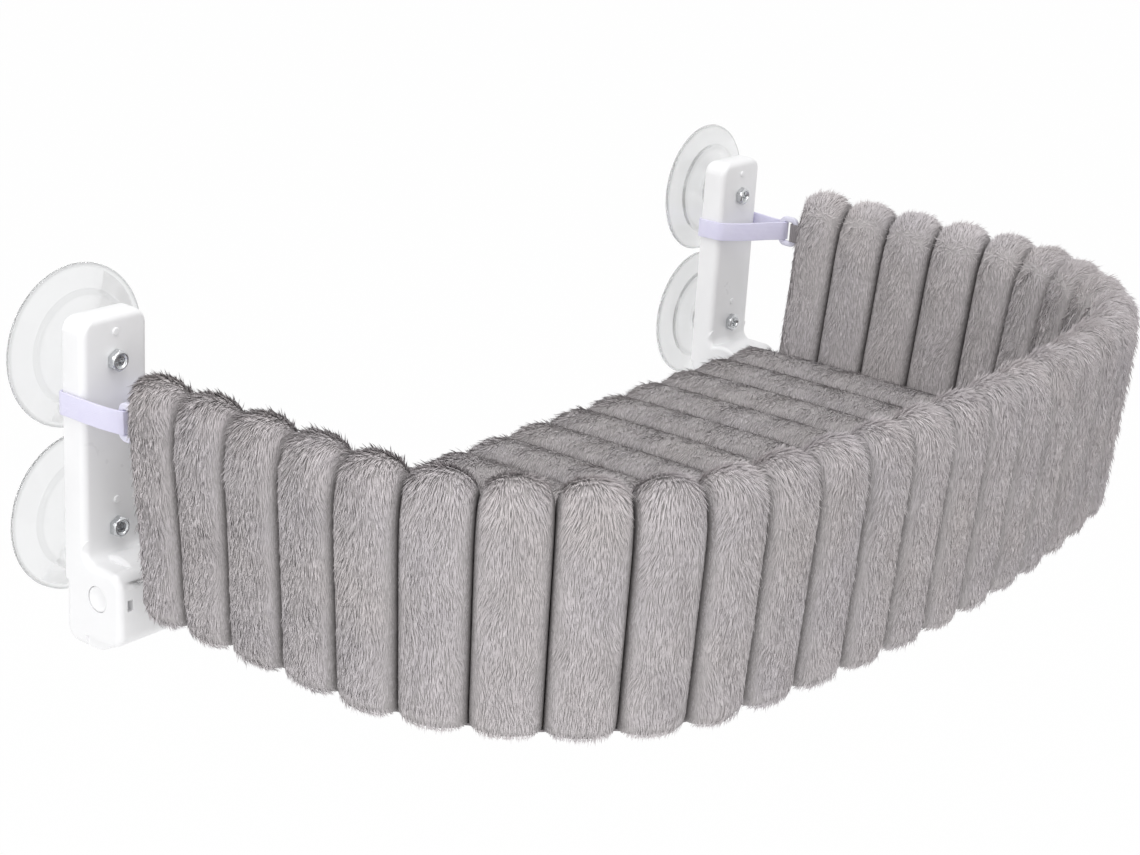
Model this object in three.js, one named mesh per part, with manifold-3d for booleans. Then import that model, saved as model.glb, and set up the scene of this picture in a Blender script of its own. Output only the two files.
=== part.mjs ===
// Cat window perch: a plush channel-quilted bed on a bent steel tube, carried by two plastic
// brackets with two suction cups each. Millimetres, +Z up. The glass is the plane Y = 0, the
// room is on the -Y side, X = 0 is midway between the brackets, Z = 0 midway between the cups.
import * as THREE from 'three';
import { mergeVertices } from 'three/addons/utils/BufferGeometryUtils.js';
import Module from 'manifold-3d';

const wasm = await Module();
wasm.setup();

// Driving dimensions of the whole perch
const bedWidth = 593; // between the outer seam lines of the side walls
const bracketInset = 26.5; // seam line to the middle of its bracket
const cupDiameter = 85;
const cupGap = 3; // between the rims of a bracket's two cups
const standoff = 15.5; // glass to the back of a bracket
const armThickness = 15.5;
const bedReach = 366; // glass to the outer seam line at the middle of the front
const frontBow = 43; // how far the front bows past its own corners
const cornerRadius = 112;
const bedRear = 70; // glass to the open ends of the wall
const wallHeight = 115; // board to the wall's crest
const wallChannels = 30;
const endChannels = 3; // channels in a wall end, the stretch that crumples when the bed tips
const cornerChannels = 7;
const seatChannels = 14;
const seatThickness = 17;
const tubeDiameter = 14;
const pivotAhead = 9; // arm's front face to the axis that the bed tips about
const pivotDrop = 31.5; // that axis below the lower cup's centre
const gap = 0.3; // clearance between pieces that touch

const bracketSpacing = bedWidth - 2 * bracketInset;
const cupSpacing = cupDiameter + cupGap;
const pivotReach = standoff + armThickness + pivotAhead;

// Outlines, solids and meshes
const roundSteps = 4;
const overrun = 2; // how far a cut runs past the face that it opens

function roundedPoints(corners) {
  // corners: [a, b, radius], each corner replaced by an arc that is tangent to both its sides
  const points = [];
  corners.forEach(([a, b, radius], index) => {
    const here = new THREE.Vector2(a, b);
    const before = new THREE.Vector2(...corners.at(index - 1)).sub(here);
    const after = new THREE.Vector2(...corners[(index + 1) % corners.length]).sub(here);
    if (radius === 0) {
      points.push(here);
      return;
    }
    const from = before.clone().normalize();
    const to = after.clone().normalize();
    const half = Math.acos(THREE.MathUtils.clamp(from.dot(to), -1, 1)) / 2;
    const run = Math.min(radius / Math.tan(half), before.length() / 2, after.length() / 2);
    const middle = from.clone().add(to).normalize().multiplyScalar(run / Math.cos(half));
    const start = from.multiplyScalar(run).sub(middle);
    const end = to.multiplyScalar(run).sub(middle);
    const turn = Math.atan2(start.cross(end), start.dot(end));
    for (let step = 0; step <= roundSteps; step += 1) {
      const spoke = start.clone().rotateAround(new THREE.Vector2(), (turn * step) / roundSteps);
      points.push(spoke.add(middle).add(here));
    }
  });
  return points;
}

function extruded(points, depth, holes = []) {
  const outline = points.map((point) => (point.isVector2 ? point : new THREE.Vector2(...point)));
  if (THREE.ShapeUtils.isClockWise(outline)) outline.reverse();
  const shape = new THREE.Shape(outline);
  shape.holes = holes.map((hole) => new THREE.Path(hole));
  return new THREE.ExtrudeGeometry(shape, { depth, bevelEnabled: false });
}

function alongX(points, from, to) {
  // points are [y, z] pairs, swept along X
  const turn = new THREE.Matrix4().set(0, 0, 1, from, 1, 0, 0, 0, 0, 1, 0, 0, 0, 0, 0, 1);
  return extruded(points, to - from).applyMatrix4(turn);
}

function alongY(points, from, to) {
  // points are [z, x] pairs, swept along Y
  const turn = new THREE.Matrix4().set(0, 1, 0, 0, 0, 0, 1, from, 1, 0, 0, 0, 0, 0, 0, 1);
  return extruded(points, to - from).applyMatrix4(turn);
}

function alongZ(points, from, to, holes) {
  return extruded(points, to - from, holes).translate(0, 0, from);
}

function box(x0, x1, y0, y1, z0, z1) {
  const block = new THREE.BoxGeometry(x1 - x0, y1 - y0, z1 - z0);
  return block.translate((x0 + x1) / 2, (y0 + y1) / 2, (z0 + z1) / 2);
}

const rodSides = 24;

function rodX(radius, from, to, y, z, sides = rodSides) {
  const rod = new THREE.CylinderGeometry(radius, radius, to - from, sides);
  return rod.rotateZ(-Math.PI / 2).translate((from + to) / 2, y, z);
}

function rodY(radius, from, to, x, z, sides = rodSides) {
  const rod = new THREE.CylinderGeometry(radius, radius, to - from, sides);
  return rod.translate(x, (from + to) / 2, z);
}

function turnedY(profile, sides) {
  // profile: [radius, y] pairs that start and end on the Y axis or close on themselves
  return new THREE.LatheGeometry(profile.map(([r, y]) => new THREE.Vector2(r, y)), sides);
}

function turnedX(profile, y, z) {
  const turned = turnedY(profile, rodSides);
  return turned.rotateZ(-Math.PI / 2).translate(0, y, z);
}

function ringProfile(bore, radius, from, to) {
  return [[bore, from], [radius, from], [radius, to], [bore, to], [bore, from]];
}

function ringY(bore, radius, from, to) {
  return turnedY(ringProfile(bore, radius, from, to), rodSides);
}

function ringX(bore, radius, from, to, y, z) {
  return turnedX(ringProfile(bore, radius, from, to), y, z);
}

const weldDistance = 1e-4; // points closer than this are one point

function closedForm(geometry) {
  const bare = geometry.clone();
  bare.deleteAttribute('normal');
  bare.deleteAttribute('uv');
  const merged = mergeVertices(bare, weldDistance);
  const corners = merged.index.array;
  const kept = [];
  for (let at = 0; at < corners.length; at += 3) {
    const [a, b, c] = [corners[at], corners[at + 1], corners[at + 2]];
    if (a !== b && b !== c && c !== a) kept.push(a, b, c);
  }
  merged.setIndex(kept);
  return facingOut(merged);
}

function facingOut(geometry) {
  const place = geometry.attributes.position;
  const corners = geometry.index.array;
  const [a, b, c] = [new THREE.Vector3(), new THREE.Vector3(), new THREE.Vector3()];
  let volume = 0;
  for (let at = 0; at < corners.length; at += 3) {
    a.fromBufferAttribute(place, corners[at]);
    b.fromBufferAttribute(place, corners[at + 1]);
    c.fromBufferAttribute(place, corners[at + 2]);
    volume += a.dot(b.cross(c));
  }
  if (volume < 0) geometry.setIndex(Array.from(corners).reverse());
  return geometry;
}

function solid(geometry) {
  const form = closedForm(geometry);
  const vertProperties = Float32Array.from(form.attributes.position.array);
  const triVerts = Uint32Array.from(form.index.array);
  return new wasm.Manifold(new wasm.Mesh({ numProp: 3, vertProperties, triVerts }));
}

function asGeometry(body) {
  const mesh = body.getMesh();
  const geometry = new THREE.BufferGeometry();
  const places = Float32Array.from(mesh.vertProperties);
  geometry.setAttribute('position', new THREE.BufferAttribute(places, mesh.numProp));
  geometry.setIndex(Array.from(mesh.triVerts));
  return geometry;
}

function joined(first, ...others) {
  return others.reduce((body, piece) => body.add(solid(piece)), first);
}

function cut(first, ...others) {
  return others.reduce((body, piece) => body.subtract(solid(piece)), first);
}

function mirrored(geometry) {
  const copy = geometry.clone().scale(-1, 1, 1);
  if (!copy.index) {
    copy.setIndex(Array.from({ length: copy.attributes.position.count }, (_, index) => index));
  }
  copy.setIndex(Array.from(copy.index.array).reverse());
  return copy;
}

function lofted(rings) {
  // rings of equal length, joined one to the next, with a fan of faces over each end
  const places = rings.flat(2);
  const count = rings[0].length;
  const faces = [];
  for (let ring = 0; ring < rings.length - 1; ring += 1) {
    for (let side = 0; side < count; side += 1) {
      const next = (side + 1) % count;
      const [a, b] = [ring * count + side, ring * count + next];
      faces.push(a, b, a + count, b, b + count, a + count);
    }
  }
  [0, rings.length - 1].forEach((ring) => {
    const middle = [0, 1, 2].map((axis) => average(rings[ring].map((place) => place[axis])));
    const hub = places.push(...middle) / 3 - 1;
    for (let side = 0; side < count; side += 1) {
      const pair = [ring * count + side, ring * count + ((side + 1) % count)];
      faces.push(hub, ...(ring === 0 ? pair.reverse() : pair));
    }
  });
  const geometry = new THREE.BufferGeometry();
  geometry.setAttribute('position', new THREE.Float32BufferAttribute(places, 3));
  geometry.setIndex(faces);
  return facingOut(geometry);
}

function average(values) {
  return values.reduce((sum, value) => sum + value, 0) / values.length;
}

// Finishes
const finishes = {
  plush: { color: 0xa39e9e, roughness: 0.95 },
  cloth: { color: 0x8d888a, roughness: 0.9 },
  webbing: { color: 0xdedcf0, roughness: 0.7 },
  abs: { color: 0xf4f4f6, roughness: 0.3 },
  pvc: { color: 0xdfe3e4, roughness: 0.1, transparent: true, opacity: 0.35 },
  zinc: { color: 0xc4c6c8, roughness: 0.25, metalness: 1 },
  paintedSteel: { color: 0x3a3b3e, roughness: 0.5, metalness: 0.4 },
  board: { color: 0x9a8468, roughness: 0.8 },
};

const perch = new THREE.Group();

function place(parent, name, geometry, finish) {
  const mesh = new THREE.Mesh(closedForm(geometry), new THREE.MeshStandardMaterial(finishes[finish]));
  mesh.name = name;
  parent.add(mesh);
}

// Each side's pieces are drawn for the left bracket, with X = 0 at the bracket's middle and +X
// towards the bed's middle, and are mirrored for the right
const leftSide = new THREE.Group();
leftSide.position.x = -bracketSpacing / 2;
const rightSide = new THREE.Group();
rightSide.position.x = bracketSpacing / 2;
perch.add(leftSide, rightSide);

function placeBothSides(name, geometry, finish) {
  const form = closedForm(geometry);
  place(leftSide, `left_${name}`, form, finish);
  place(rightSide, `right_${name}`, mirrored(form), finish);
}

const cupLevels = { upper: cupSpacing / 2, lower: -cupSpacing / 2 };
const pivotY = -pivotReach;
const pivotZ = cupLevels.lower - pivotDrop;

// Suction cup: clear soft PVC, a shallow dish with a stepped back and a hub round a brass insert
const screwDiameter = 6;
const screwFit = 0.4;
const insertRadius = 5.2;
const washerThickness = 1.2;
const washerRadius = 15;
const hubRadius = 12.5;
const cupRim = 2.5; // width of the flat lip that meets the glass
const lipThickness = 1.6;
const dishDepth = 4;
const dishFloor = 2; // PVC left between the dish and the insert
const stepRadius = 29;
const stepWidth = 1.5;
const stepHeight = 1.6;
const stepLevel = 5;
const shoulderLevel = 10.6;
const cupSides = 32;
const hubTop = standoff - gap - washerThickness - gap;

function cupForm() {
  const rim = cupDiameter / 2;
  const pocket = insertRadius + gap;
  return turnedY([
    [0, -dishDepth],
    [hubRadius, -dishDepth],
    [stepRadius, -dishDepth / 2],
    [rim - cupRim, 0],
    [rim, 0],
    [rim, -lipThickness],
    [stepRadius + stepWidth, -stepLevel],
    [stepRadius, -stepLevel - stepHeight],
    [hubRadius, -shoulderLevel],
    [hubRadius, -hubTop],
    [pocket, -hubTop],
    [pocket, -dishDepth - dishFloor],
    [0, -dishDepth - dishFloor],
  ], cupSides);
}

function insertForm() {
  const bore = screwDiameter / 2 + gap;
  const [back, front] = [-dishDepth - dishFloor - gap, -hubTop];
  return ringY(bore, insertRadius, back, front);
}

function washerForm() {
  const bore = screwDiameter / 2 + screwFit;
  const back = -hubTop - gap;
  const front = back - washerThickness;
  return ringY(bore, washerRadius, back, front);
}

// Machine screw with a dished hexagon head and a cross recess, through arm and washer to the insert
const hexSides = 6;
const headAcrossFlats = 10;
const headHeight = 4;
const headDish = 1;
const headDishRadius = 3.9;
const crossLength = 5.6;
const crossWidth = 1.3;
const crossDepth = 2.4;
const screwTip = 8; // glass to the screw's tip
const armFront = -standoff - armThickness;
const armBack = -standoff;

function screwForm() {
  const seat = armFront - gap;
  const top = seat - headHeight;
  const corner = headAcrossFlats / Math.sqrt(3);
  const shank = rodY(screwDiameter / 2, seat - headDish / 2, -screwTip, 0, 0);
  const head = joined(solid(rodY(corner, top, seat, 0, 0, hexSides)), shank);
  return asGeometry(cut(
    head,
    rodY(headDishRadius, top - overrun, top + headDish, 0, 0),
    box(-crossLength / 2, crossLength / 2, top, top + crossDepth, -crossWidth / 2, crossWidth / 2),
    box(-crossWidth / 2, crossWidth / 2, top, top + crossDepth, -crossLength / 2, crossLength / 2),
  ));
}

for (const [level, height] of Object.entries(cupLevels)) {
  placeBothSides(`${level}_suction_cup`, cupForm().translate(0, 0, height), 'pvc');
  placeBothSides(`${level}_cup_insert`, insertForm().translate(0, 0, height), 'zinc');
  placeBothSides(`${level}_cup_washer`, washerForm().translate(0, 0, height), 'zinc');
  placeBothSides(`${level}_cup_screw`, screwForm().translate(0, 0, height), 'zinc');
}

// Bracket: one ABS moulding, a hollow-backed arm with a thick foot that holds the pivot
const armWidth = 42;
const armRise = 24; // arm above the upper screw
const footOver = 16.5; // pivot axis to the foot's top
const footAhead = 17; // pivot axis to the foot's front
const footUnder = 29; // pivot axis to the foot's bottom
const footToeRise = 8.5; // how far the underside rises to the toe
const footHeelRun = 24.5;
const edgeRound = 4;
const footRound = 8;
const heelRound = 10;
const armCornerRound = 9;
const mouldWall = 3;
const bossRadius = 8;
const ribThickness = 2;
const ribCount = 5;
const pipRadius = 2;
const pipHeight = 0.8;
const pipRise = 14.5; // pip above its screw
const sleeveWall = 1;
const sleeveEnd = -3.5; // sleeve's outer end, from the bracket's middle
const saddleRadius = 19.5;
const saddleEnd = -9;
const windowHeight = 14; // the front opening in the bore, narrower than the sleeve so that it snaps in
const slotWidth = 3.5;
const slotHeight = 6;
const slotDepth = 6;
const slotPlace = -14.3;
const dimpleRadius = 7;
const dimpleDepth = 2;
const pivotScrewRadius = 2.5;
const pivotHeadRadius = 4.6;
const pivotHeadHeight = 3;
const headPocket = 4;
const notchDepth = 1.5;
const notchHeight = 7;
const corePocketWall = 3;

const armHalf = armWidth / 2;
const armTop = cupLevels.upper + armRise;
const footTop = pivotZ + footOver;
const footBottom = pivotZ - footUnder;
const footFront = pivotY - footAhead;
const sleeveRadius = tubeDiameter / 2 + gap + sleeveWall;
const boreRadius = sleeveRadius + gap;
const boreEnd = sleeveEnd - gap;

function bracketBlank() {
  const side = roundedPoints([
    [armBack, armTop, edgeRound],
    [armFront, armTop, edgeRound],
    [armFront, footTop, footRound],
    [footFront, footTop, footRound],
    [footFront, footBottom + footToeRise, footRound],
    [armBack - footHeelRun, footBottom, heelRound],
    [armBack, footBottom, footRound],
  ]);
  const front = roundedPoints([
    [armTop, -armHalf, armCornerRound],
    [armTop, armHalf, armCornerRound],
    [footBottom, armHalf, edgeRound],
    [footBottom, -armHalf, edgeRound],
  ]);
  const saddle = solid(rodX(saddleRadius, saddleEnd, armHalf, pivotY, pivotZ))
    .intersect(solid(box(-armHalf, armHalf, footFront, armFront, footBottom, armTop)));
  const blank = solid(alongX(side, -armHalf, armHalf)).add(saddle);
  return blank.intersect(solid(alongY(front, footFront - overrun, armBack + overrun)));
}

function backHollow() {
  // the arm's hollow back, less the two screw bosses and the cross ribs that stay in it
  const half = armHalf - mouldWall;
  const [low, high] = [footTop + mouldWall, armTop - mouldWall];
  const floor = armFront + mouldWall;
  let hollow = solid(box(-half, half, floor, armBack + overrun, low, high));
  for (const height of Object.values(cupLevels)) {
    hollow = cut(hollow, rodY(bossRadius, floor, armBack + overrun, 0, height));
  }
  for (let rib = 1; rib <= ribCount; rib += 1) {
    const middle = low + ((high - low) * rib) / (ribCount + 1);
    const [under, over] = [middle - ribThickness / 2, middle + ribThickness / 2];
    hollow = cut(hollow, box(-half, half, floor, armBack + overrun, under, over));
  }
  return hollow;
}

function bracketForm() {
  let bracket = bracketBlank().subtract(backHollow());
  for (const height of Object.values(cupLevels)) {
    const pip = rodY(pipRadius, armFront - pipHeight, armFront + mouldWall, 0, height + pipRise);
    const hole = rodY(screwDiameter / 2 + screwFit, armFront - overrun, armBack + overrun, 0, height);
    bracket = cut(joined(bracket, pip), hole);
  }
  const [inner, outer] = [armHalf + overrun, -armHalf - overrun];
  const coreTop = pivotZ - boreRadius - corePocketWall;
  return asGeometry(cut(
    bracket,
    rodX(boreRadius, boreEnd, inner, pivotY, pivotZ),
    box(boreEnd, inner, footFront - overrun, pivotY, pivotZ - windowHeight / 2, pivotZ + windowHeight / 2),
    rodX(dimpleRadius, outer, -armHalf + dimpleDepth, pivotY, pivotZ),
    rodX(pivotHeadRadius + gap, outer, -armHalf + dimpleDepth + headPocket, pivotY, pivotZ),
    rodX(pivotScrewRadius + gap, outer, boreEnd + overrun, pivotY, pivotZ),
    box(slotPlace - slotWidth / 2, slotPlace + slotWidth / 2, footFront - overrun, footFront + slotDepth,
      pivotZ - slotHeight / 2, pivotZ + slotHeight / 2),
    box(outer, -armHalf + notchDepth, footFront - overrun, armFront, footBottom - overrun,
      footBottom + notchHeight),
    box(-armHalf + corePocketWall, armHalf - corePocketWall, footFront + footRound, armBack - corePocketWall,
      footBottom - overrun, coreTop),
  ));
}

placeBothSides('bracket', bracketForm(), 'abs');

// Pivot: a nylon sleeve on the tube's end turns in the foot's bore, and a screw through the
// foot's outer wall holds it in from the side, under a snap-in cap
const sleeveLength = 27.5;
const plugLength = 18;
const tubeWall = 1.2;
const capThickness = 1.4;
const tubeEnd = sleeveEnd + sleeveWall + gap;

function pivotSleeveForm() {
  const [outer, bore] = [sleeveRadius, tubeDiameter / 2 + gap];
  const hole = pivotScrewRadius + gap;
  const far = sleeveEnd + sleeveLength;
  const floor = sleeveEnd + sleeveWall;
  const profile = [[hole, sleeveEnd], [outer, sleeveEnd], [outer, far], [bore, far], [bore, floor],
    [hole, floor], [hole, sleeveEnd]];
  return turnedX(profile, pivotY, pivotZ);
}

function tubePlugForm() {
  const [outer, bore] = [tubeDiameter / 2 - tubeWall - 2 * gap, pivotScrewRadius + gap];
  return ringX(bore, outer, tubeEnd, tubeEnd + plugLength, pivotY, pivotZ);
}

function pivotScrewForm() {
  const seat = -armHalf + dimpleDepth + headPocket - gap;
  const head = solid(rodX(pivotHeadRadius, seat - pivotHeadHeight, seat, pivotY, pivotZ));
  const shank = rodX(pivotScrewRadius, seat - pivotHeadHeight / 2, tubeEnd + plugLength, pivotY, pivotZ);
  const slot = box(seat - pivotHeadHeight - overrun, seat - pivotHeadHeight / 2, pivotY - crossWidth / 2,
    pivotY + crossWidth / 2, pivotZ - crossLength / 2, pivotZ + crossLength / 2);
  return asGeometry(cut(joined(head, shank), slot));
}

function pivotCapForm() {
  const floor = -armHalf + dimpleDepth - gap;
  return rodX(dimpleRadius - gap, floor - capThickness, floor, pivotY, pivotZ);
}

placeBothSides('pivot_sleeve', pivotSleeveForm(), 'webbing');
placeBothSides('tube_plug', tubePlugForm(), 'abs');
placeBothSides('pivot_screw', pivotScrewForm(), 'zinc');
placeBothSides('pivot_cap', pivotCapForm(), 'abs');

// The bed's plan: straight sides, round corners and a front that bows towards the room
const seamHalf = bedWidth / 2;
const seamReach = bedReach - frontBow;
const planSteps = 24;

function planLine() {
  // points [x, y] of the wall's outer seam line, from the left end round the front to the right end
  const half = [];
  const turnY = -seamReach + cornerRadius;
  for (let step = 0; step < planSteps; step += 1) {
    half.push([-seamHalf, -bedRear + ((turnY + bedRear) * step) / planSteps]);
  }
  for (let step = 0; step < planSteps; step += 1) {
    const turn = (Math.PI / 2) * (step / planSteps);
    half.push([-seamHalf + cornerRadius * (1 - Math.cos(turn)), turnY - cornerRadius * Math.sin(turn)]);
  }
  for (let step = 0; step <= planSteps; step += 1) {
    half.push([(-seamHalf + cornerRadius) * (1 - step / planSteps), -seamReach]);
  }
  const bowed = half.map(([x, y]) => {
    const across = 1 - (x / seamHalf) ** 2;
    const forward = (-y - bedRear) / (seamReach - bedRear);
    return [x, y - frontBow * across * forward ** 2];
  });
  return [...bowed, ...bowed.slice(0, -1).reverse().map(([x, y]) => [-x, y])];
}

const plan = planLine();
const planLengths = plan.reduce((sums, [x, y], index) => {
  const [lastX, lastY] = plan[Math.max(index - 1, 0)];
  return [...sums, (sums.at(-1) ?? 0) + Math.hypot(x - lastX, y - lastY)];
}, []);
const planInwards = plan.map((_, index) => {
  const [beforeX, beforeY] = plan[Math.max(index - 1, 0)];
  const [afterX, afterY] = plan[Math.min(index + 1, plan.length - 1)];
  const run = Math.hypot(afterX - beforeX, afterY - beforeY);
  return [(beforeY - afterY) / run, (afterX - beforeX) / run];
});
const planLength = planLengths.at(-1);
const wallPitch = planLength / wallChannels;

function onPlan(distance, inset) {
  // the point at a distance along the seam line, moved inwards by the inset
  const end = plan.length - 1;
  const found = planLengths.findIndex((length) => length >= distance);
  const after = found < 0 ? end : Math.max(found, 1);
  const share = (distance - planLengths[after - 1]) / (planLengths[after] - planLengths[after - 1]);
  const between = (values, axis) => THREE.MathUtils.lerp(values[after - 1][axis], values[after][axis], share);
  return [0, 1].map((axis) => between(plan, axis) + inset * between(planInwards, axis));
}

// Stack of the bed's base, from the tube upwards: cover, board, then the seat and the wall
const coverThickness = 1;
const boardThickness = 3;
const boardInset = 9;
const coverInset = 6;
const baseOverhang = 8; // board and cover behind the wall's ends
const baseRear = bedRear - baseOverhang;
const coverFloor = pivotZ + tubeDiameter / 2 + gap;
const boardFloor = coverFloor + coverThickness + gap;
const bedFloor = boardFloor + boardThickness + gap;

function basePanel(inset, floor, thickness) {
  const points = [];
  for (let channel = 0; channel <= wallChannels; channel += 1) {
    points.push(onPlan(channel * wallPitch, inset));
  }
  points.unshift([points[0][0], -baseRear]);
  points.push([points.at(-1)[0], -baseRear]);
  return alongZ(points.map(([x, y]) => new THREE.Vector2(x, y)), floor, floor + thickness);
}

place(perch, 'base_cover', basePanel(coverInset, coverFloor, coverThickness), 'cloth');
place(perch, 'base_board', basePanel(boardInset, boardFloor, boardThickness), 'board');

// Wall: foam-filled plush channels side by side, leaning out a little, with a round crest
const wallLean = 7; // how far the seam line stands out at the crest, against the foot
const wallFootThickness = 30;
const wallTopThickness = 21;
const channelPuff = 7; // how far a channel swells past its seams
const crestPuff = 7; // how far a channel's crest stands above its seams
const wallOutset = 4; // seam line at the crest, outside the plan line
// A section's corners: share of the half thickness, share of the height
const sectionShares = [
  [1, 0.03], [1, 0.3], [1, 0.62], [0.94, 0.84], [0.55, 0.97], [0, 1],
  [-0.55, 0.97], [-0.94, 0.84], [-1, 0.62], [-1, 0.3], [-1, 0.03], [0, 0],
];
// A channel's sections: share of the pitch, share of the puff
const channelShares = [[0, 0], [0.12, 0.72], [0.5, 1], [0.88, 0.72]];
const endThicknessShare = 0.62;

function wallRing(distance, puffShare, thicknessShare) {
  return sectionShares.map(([sideShare, heightShare]) => {
    const thickness = THREE.MathUtils.lerp(wallFootThickness, wallTopThickness, heightShare);
    const outerFace = wallOutset - wallLean * (1 - heightShare);
    const half = (thickness / 2) * thicknessShare;
    const puff = channelPuff * puffShare * sideShare;
    const inset = thickness / 2 - outerFace - half * sideShare - puff;
    const [x, y] = onPlan(distance, inset);
    const crest = wallHeight - crestPuff * (1 - puffShare);
    return [x, y, bedFloor + crest * heightShare];
  });
}

function wallForm(firstChannel, lastChannel) {
  const rings = [];
  for (let channel = firstChannel; channel < lastChannel; channel += 1) {
    channelShares.forEach(([pitchShare, puffShare], index) => {
      const isStart = channel === firstChannel && index === 0;
      const thin = isStart && firstChannel === 0 ? endThicknessShare : 1;
      const distance = (channel + pitchShare) * wallPitch + (isStart ? gap / 2 : 0);
      rings.push(wallRing(distance, puffShare, thin));
    });
  }
  const thin = lastChannel === wallChannels ? endThicknessShare : 1;
  rings.push(wallRing(lastChannel * wallPitch - gap / 2, 0, thin));
  return lofted(rings);
}

const wallBreaks = [
  0,
  endChannels,
  endChannels + cornerChannels,
  wallChannels - endChannels - cornerChannels,
  wallChannels - endChannels,
  wallChannels,
];
const wallNames = ['left_wall_end', 'left_wall_corner', 'front_wall', 'right_wall_corner', 'right_wall_end'];
wallNames.forEach((name, index) => {
  place(perch, name, wallForm(wallBreaks[index], wallBreaks[index + 1]), 'plush');
});

// Seat: one quilted plush pad whose channels run from the glass to the room
const seatOverhang = 9; // pad's rear edge behind the wall's ends
const seatClear = 1.5; // pad to wall
const seatSeamShare = 0.66; // pad's thickness at a seam, against a channel's middle
const seatEdgeRun = 9;
const seatEdgeShare = 0.9; // thickness where the edge's round begins
const seatSideShare = 0.42; // height of the edge's widest point
const seatCrownShare = 0.3; // part of the pad's run where the crown rises to its full height
const seatInset = wallFootThickness + wallLean - wallOutset + channelPuff + seatClear;
const seatRear = bedRear - seatOverhang;

function seatFront(x) {
  // the pad's front edge at x, on the line inside the wall's foot, found by halving that line
  let [near, far] = [0, planLength / 2];
  while (far - near > weldDistance) {
    const middle = (near + far) / 2;
    if (onPlan(middle, seatInset)[0] <= weldDistance - Math.abs(x)) near = middle;
    else far = middle;
  }
  return onPlan(near, seatInset)[1];
}

function seatRing(x, puffShare) {
  const height = seatThickness * THREE.MathUtils.lerp(seatSeamShare, 1, puffShare);
  const [rear, front] = [-seatRear, seatFront(x)];
  const crown = (rear - front) * seatCrownShare;
  const outline = [
    [rear - seatEdgeRun / 2, 0],
    [front + seatEdgeRun / 2, 0],
    [front, seatSideShare],
    [front + seatEdgeRun, seatEdgeShare],
    [front + crown, 1],
    [rear - crown, 1],
    [rear - seatEdgeRun, seatEdgeShare],
    [rear, seatSideShare],
  ];
  return outline.map(([y, heightShare]) => [x, y, bedFloor + height * heightShare]);
}

function seatForm() {
  const half = seamHalf - seatInset;
  const pitch = (2 * half) / seatChannels;
  const rings = [];
  for (let channel = 0; channel < seatChannels; channel += 1) {
    for (const [pitchShare, puffShare] of channelShares) {
      rings.push(seatRing(-half + (channel + pitchShare) * pitch, puffShare));
    }
  }
  rings.push(seatRing(half, 0));
  return lofted(rings);
}

place(perch, 'seat_pad', seatForm(), 'plush');

// Frame: one bent tube in two halves, joined at the middle of the front over a spigot
const bendRadius = 24;
const stubRun = 26; // tube's straight end, from the bracket's middle to the first bend
const cornerInset = 27; // bed's corner radius less the tube's
const frameInset = 48; // seam line to the tube at the middle of the front
const frameBowTurn = 20; // degrees that the tube still turns between its corner and the middle
const spigotLength = 40;
const spigotPlaceShares = [-1, -0.5, 0, 0.5, 1]; // points along the spigot, against its half length
const tubeSides = 10;

const frameCorner = cornerRadius - cornerInset;
const frameReach = bedReach - frameInset;
const sideTubeX = -bracketSpacing / 2 + stubRun + bendRadius;
const frontHalf = -sideTubeX - frameCorner;
const bowAngle = THREE.MathUtils.degToRad(frameBowTurn);
const bowRadius = frameCorner + frontHalf / Math.sin(bowAngle);

const bendSteps = 5;
const cornerSteps = 7;
const bowSteps = 4;

function tubeRuns() {
  // the left half of the tube's centre line: [length, steps, place at a length], run after run
  const cornerTurn = Math.PI / 2 - bowAngle;
  const cornerX = sideTubeX + frameCorner;
  const cornerY = -frameReach + bowRadius * (1 - Math.cos(bowAngle)) + frameCorner * Math.cos(bowAngle);
  const bendX = sideTubeX - bendRadius;
  const startX = -bracketSpacing / 2 + tubeEnd;
  return [
    [bendX - startX, 1, (s) => [startX + s, pivotY]],
    [(Math.PI / 2) * bendRadius, bendSteps, (s) => [
      bendX + bendRadius * Math.sin(s / bendRadius),
      pivotY - bendRadius * (1 - Math.cos(s / bendRadius))]],
    [pivotY - bendRadius - cornerY, 1, (s) => [sideTubeX, pivotY - bendRadius - s]],
    [cornerTurn * frameCorner, cornerSteps, (s) => [
      cornerX - frameCorner * Math.cos(s / frameCorner),
      cornerY - frameCorner * Math.sin(s / frameCorner)]],
    [bowAngle * bowRadius, bowSteps, (s) => [
      -bowRadius * Math.sin(bowAngle - s / bowRadius),
      -frameReach + bowRadius * (1 - Math.cos(bowAngle - s / bowRadius))]],
  ];
}

class TubeRoute extends THREE.Curve {
  // a stretch of the tube's centre line, with a section wherever a run or one of its steps ends
  constructor(from, shortfall) {
    super();
    this.runs = tubeRuns();
    this.arcLengthDivisions = 1;
    const total = this.runs.reduce((sum, [length]) => sum + length, 0);
    const places = [];
    let start = 0;
    for (const [length, steps] of this.runs) {
      for (let step = 0; step < steps; step += 1) places.push(start + (length * step) / steps);
      start += length;
    }
    const to = total - shortfall;
    this.stations = [from, ...places.filter((length) => length > from && length < to), to];
  }

  getUtoTmapping(share) {
    return share;
  }

  getPoint(share, target = new THREE.Vector3()) {
    const reach = share * (this.stations.length - 1);
    const last = Math.min(Math.floor(reach), this.stations.length - 2);
    let left = THREE.MathUtils.lerp(this.stations[last], this.stations[last + 1], reach - last);
    let run = 0;
    while (run < this.runs.length - 1 && left > this.runs[run][0]) {
      left -= this.runs[run][0];
      run += 1;
    }
    const [x, y] = this.runs[run][2](left);
    return target.set(x, y, pivotZ);
  }
}

function ringPoints(radius, sides) {
  return Array.from({ length: sides }, (_, side) => {
    const turn = (2 * Math.PI * side) / sides;
    return new THREE.Vector2(radius * Math.cos(turn), radius * Math.sin(turn));
  });
}

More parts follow.
